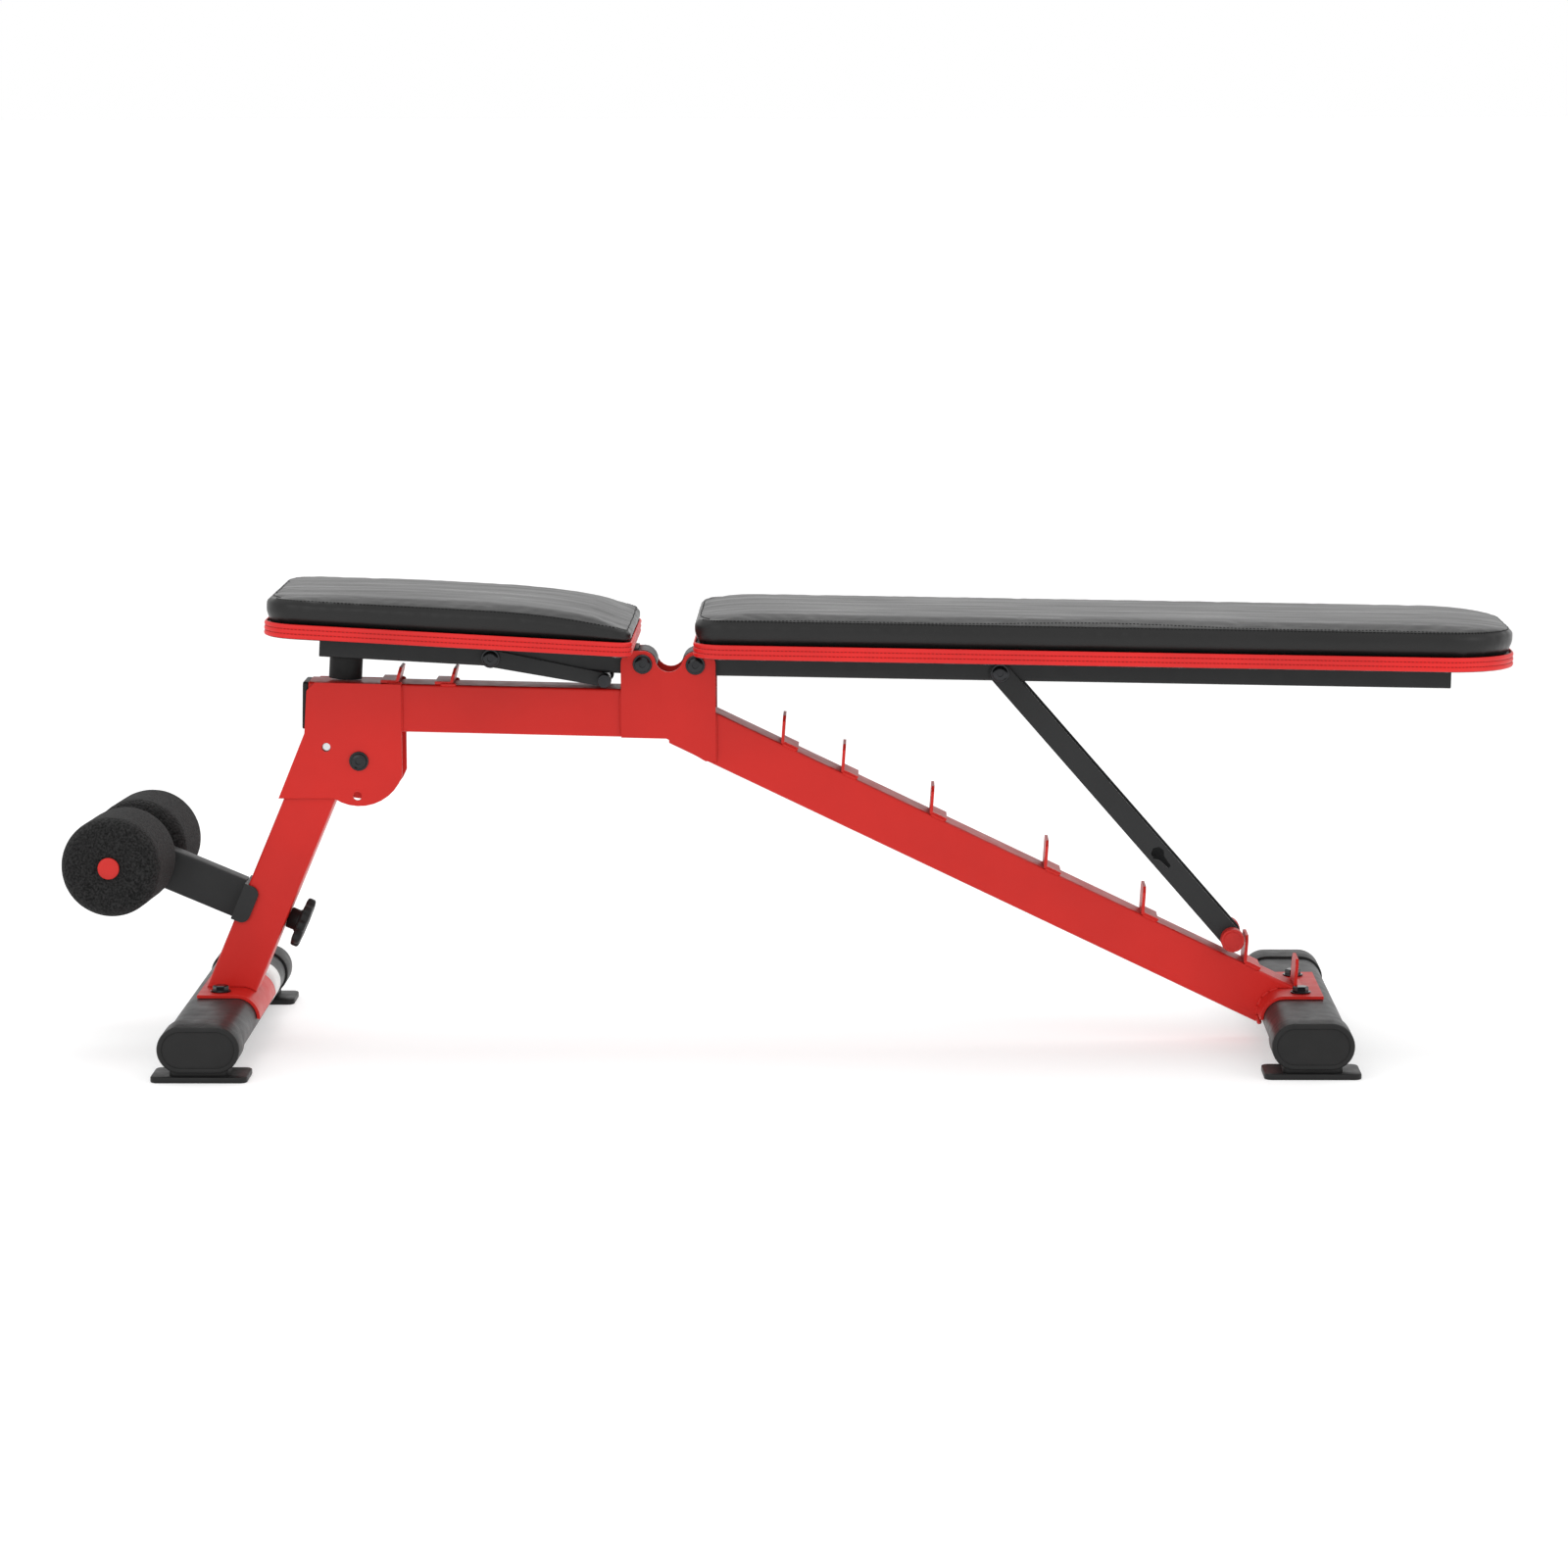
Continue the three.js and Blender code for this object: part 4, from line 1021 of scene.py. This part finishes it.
# ---- weld beads ----
def make_weld(name, start, end, radius, body, seed=0):
    """A painted weld bead: a run of overlapping ripples along a line."""
    start, end = Vector(start), Vector(end)
    run = end - start
    axis = run.normalized()
    side = axis.orthogonal().normalized()
    other = axis.cross(side)
    ripple = 1.5 * MM
    count = max(8, int(run.length / ripple * 4))
    around = 10
    points = []
    for k in range(count + 1):
        share = k / count
        ends = min(1, share * 8, (1 - share) * 8) ** 0.5
        wander = noise.noise(start * 90 + Vector((share * 14, seed, 0)))
        scales = abs(math.sin(math.pi * k / 4))
        swell = radius * (0.12 + 0.88 * ends) * (1 + 0.1 * wander + 0.09 * scales)
        for i in range(around):
            a = 2 * math.pi * i / around
            points.append(start + run * share + (side * math.cos(a) + other * math.sin(a)) * swell)
    return add_piece(name, points, ring_faces(count + 1, around), RED_COAT, body)


def beam_top(side, x):
    """Height at x of the top face of the beam under the seat or the back, from the beam's highest line."""
    beam, slope = BEAMS[side]
    points = np.array([v.co for v in nodes[beam].data.vertices])
    level = points[:, 2] + points[:, 0] * math.tan(slope)
    return level.max() - x * math.tan(slope)


def make_catch_welds():
    """A bead down each side of a catch's foot, where it meets the beam's edge."""
    for name in sorted(n for n in nodes if "_catch_" in n):
        beam_side = name.split("_")[0]
        slope = BEAMS[beam_side][1]
        low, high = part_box(name)
        length = min(high.x - low.x, 15 * MM)
        x = low.x + 1 * MM if beam_side == "back" else high.x - length
        for side, sign in (("near", -1), ("far", 1)):
            start = Vector((x, sign * 21.3 * MM, beam_top(beam_side, x) + 0.3 * MM))
            end = start + Vector((length * math.cos(slope), 0, -length * math.sin(slope)))
            make_weld(f"{name}_weld_{side}", start, end, 1.7 * MM, "frame", seed=len(name))


def make_plate_welds():
    """Upright beads where the gussets and the fold plates end on the beams' sides."""
    for side, sign in (("near", -1), ("far", 1)):
        gusset_low, gusset_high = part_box("hinge_gusset_" + side)
        fold_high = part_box("leg_fold_plate_" + side)[1]
        beads = (
            ("gusset_front_weld_", "seat", gusset_low.x, 44 * MM, 1.5 * MM),
            ("gusset_rear_weld_", "back", gusset_high.x, 48 * MM, 1.5 * MM),
            ("fold_plate_weld_", "seat", fold_high.x, 44 * MM, 1.4 * MM),
        )
        for seed, (name, beam_side, x, drop, radius) in enumerate(beads, 1):
            top = beam_top(beam_side, x)
            start = (x, sign * BEAM_SIDE, top - drop)
            end = (x, sign * BEAM_SIDE, top - 1 * MM)
            make_weld(name + side, start, end, radius, "frame", seed)


def make_saddle_welds():
    """The bead round the rear beam's end, where it is welded to its saddle."""
    tube_low, tube_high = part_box("rear_foot_tube")
    centre = (tube_low + tube_high) / 2
    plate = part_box("rear_saddle")[1].z - tube_high.z
    width = tube_high.x - tube_low.x + 2 * plate
    height = tube_high.z - tube_low.z + 2 * plate
    steps = 5
    lip_turn, top_turn = SADDLE_WELD
    turns = [lip_turn + (top_turn - lip_turn) * i / steps for i in range(steps + 1)]
    for side, sign in (("near", -1), ("far", 1)):
        middle = Vector((centre.x, sign * 22.6 * MM, centre.z))
        places = [middle + oval_point(width, height, turn) for turn in turns]
        for i, (start, end) in enumerate(zip(places, places[1:])):
            make_weld(f"rear_saddle_weld_{side}_{i + 1}", start, end, 1.8 * MM, "frame", i)
    lip = Vector((centre.x, 0, centre.z)) + oval_point(width, height, lip_turn)
    across = Vector((0, 22 * MM, 0))
    make_weld("rear_saddle_weld_under", lip - across, lip + across, 2.2 * MM, "frame", 9)


def make_label():
    """A blank paper label wrapped over the front foot's top, behind the saddle."""
    low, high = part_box("front_foot_tube")
    centre = Vector(((low.x + high.x) / 2, 0, FOOT_Z))
    clearance, paper = 0.2 * MM, 0.15 * MM
    width, height = high.x - low.x + 2 * clearance, high.z - low.z + 2 * clearance
    near, far = 78 * MM, 132 * MM
    start, turn, count = 0.06, 0.34, 24
    section = ((0, near), (0, far), (paper, far), (paper, near))
    points = []
    for i in range(count + 1):
        for lift, y in section:
            p = oval_point(width + 2 * lift, height + 2 * lift, start + turn * i / count)
            points.append(centre + p + Vector((0, y, 0)))
    faces = ring_faces(count + 1, len(section))
    add_piece("blank_foot_label", points, faces, LABEL, "front_leg")


# ---- stage ----
def make_floor():
    """A wide floor that glows a little, so that it renders as white as the background."""
    mesh = bpy.data.meshes.new("floor")
    size = 60
    corners = [(-size, -size, 0), (size, -size, 0), (size, size, 0), (-size, size, 0)]
    mesh.from_pydata(corners, [], [(0, 1, 2, 3)])
    floor = bpy.data.objects.new("floor", mesh)
    bpy.context.scene.collection.objects.link(floor)
    pale = Shader("pale_floor", (0.62, 0.62, 0.62), 0.7)
    pale.set(Emission_Color=(1, 1, 1, 1), Emission_Strength=0.42, Specular_IOR_Level=0.1)
    pale.vary_color(pale.noise(2, 2), 0.995, 1.005)
    mesh.materials.append(pale.material)


def make_light(name, place, target, size, power):
    light = bpy.data.lights.new(name, "AREA")
    light.shape = "RECTANGLE"
    light.size, light.size_y = size
    light.energy = power
    lamp = bpy.data.objects.new(name, light)
    lamp.location = place
    lamp.rotation_euler = (Vector(target) - Vector(place)).to_track_quat("-Z", "Y").to_euler()
    bpy.context.scene.collection.objects.link(lamp)


def make_lights():
    world = bpy.data.worlds.new("studio")
    world.use_nodes = True
    background = world.node_tree.nodes["Background"]
    background.inputs["Color"].default_value = (1, 1, 1, 1)
    background.inputs["Strength"].default_value = 1.0
    bpy.context.scene.world = world
    target = (0, 0, 0.25)
    make_light("top_softbox", (0, 0.4, 2.6), target, (3.2, 1.6), 26)
    make_light("front_softbox", (-1.6, -3.2, 1.6), target, (2.4, 1.8), 12)
    make_light("right_softbox", (2.6, -1.6, 1.4), target, (1.4, 1.4), 7)


def make_camera():
    """A long lens from the near side, a little above the bench."""
    yaw, pitch, roll = math.radians(0.984), math.radians(8.054), math.radians(-0.1157)
    level = Vector((-math.sin(yaw), math.cos(yaw), 0))
    forward = level * math.cos(pitch) - Vector((0, 0, math.sin(pitch)))
    right = Vector((math.cos(yaw), math.sin(yaw), 0))
    up = right.cross(forward)
    turned_right = right * math.cos(roll) + up * math.sin(roll)
    turned_up = up * math.cos(roll) - right * math.sin(roll)
    data = bpy.data.cameras.new("camera")
    data.lens = 120.29
    data.sensor_width = 36
    data.clip_end = 200
    camera = bpy.data.objects.new("camera", data)
    turn = Matrix((turned_right, turned_up, -forward)).transposed().to_4x4()
    camera.matrix_world = Matrix.Translation((0.079, -4.8446, 0.9273)) @ turn
    bpy.context.scene.collection.objects.link(camera)
    bpy.context.scene.camera = camera


make_camera()
make_floor()
make_lights()
bpy.context.scene.view_settings.view_transform = "Standard"
for node_name, node_object in nodes.items():
    finish_cad_node(node_name, node_object)
for cushion in ("seat", "back"):
    cover_object = make_cushion(cushion)
    make_trim(cushion)
    make_seam_stitches(cushion, cover_object)
    make_underside(cushion)
for end_name, end_sign in (("near", -1), ("far", 1)):
    make_roller(end_name, end_sign)
    make_axle_cap(end_name, end_sign)
    for foot_name, foot_body in (("front", "front_leg"), ("rear", "frame")):
        make_foot_cap(foot_name, end_name, end_sign, foot_body)
        make_saddle_bolt(f"{foot_name}_saddle_bolt_{end_name}")
make_foot_tube("front", "front_leg")
make_foot_tube("rear", "frame")
make_knob()
for pivot_name in ("seat_hinge", "back_hinge", "leg_pivot", "seat_prop", "back_prop"):
    make_cross_bolt(pivot_name + "_bolt")
make_prop_end("back_prop_bar", "back_prop_channel", 5.2 * MM, RED_PLASTIC, 1.2 * MM, recess=0.8 * MM)
make_prop_end("seat_prop_rod", "seat_prop_link", 4.2 * MM, BLACK_STEEL, 1 * MM)
make_catch_welds()
make_plate_welds()
make_saddle_welds()
make_label()
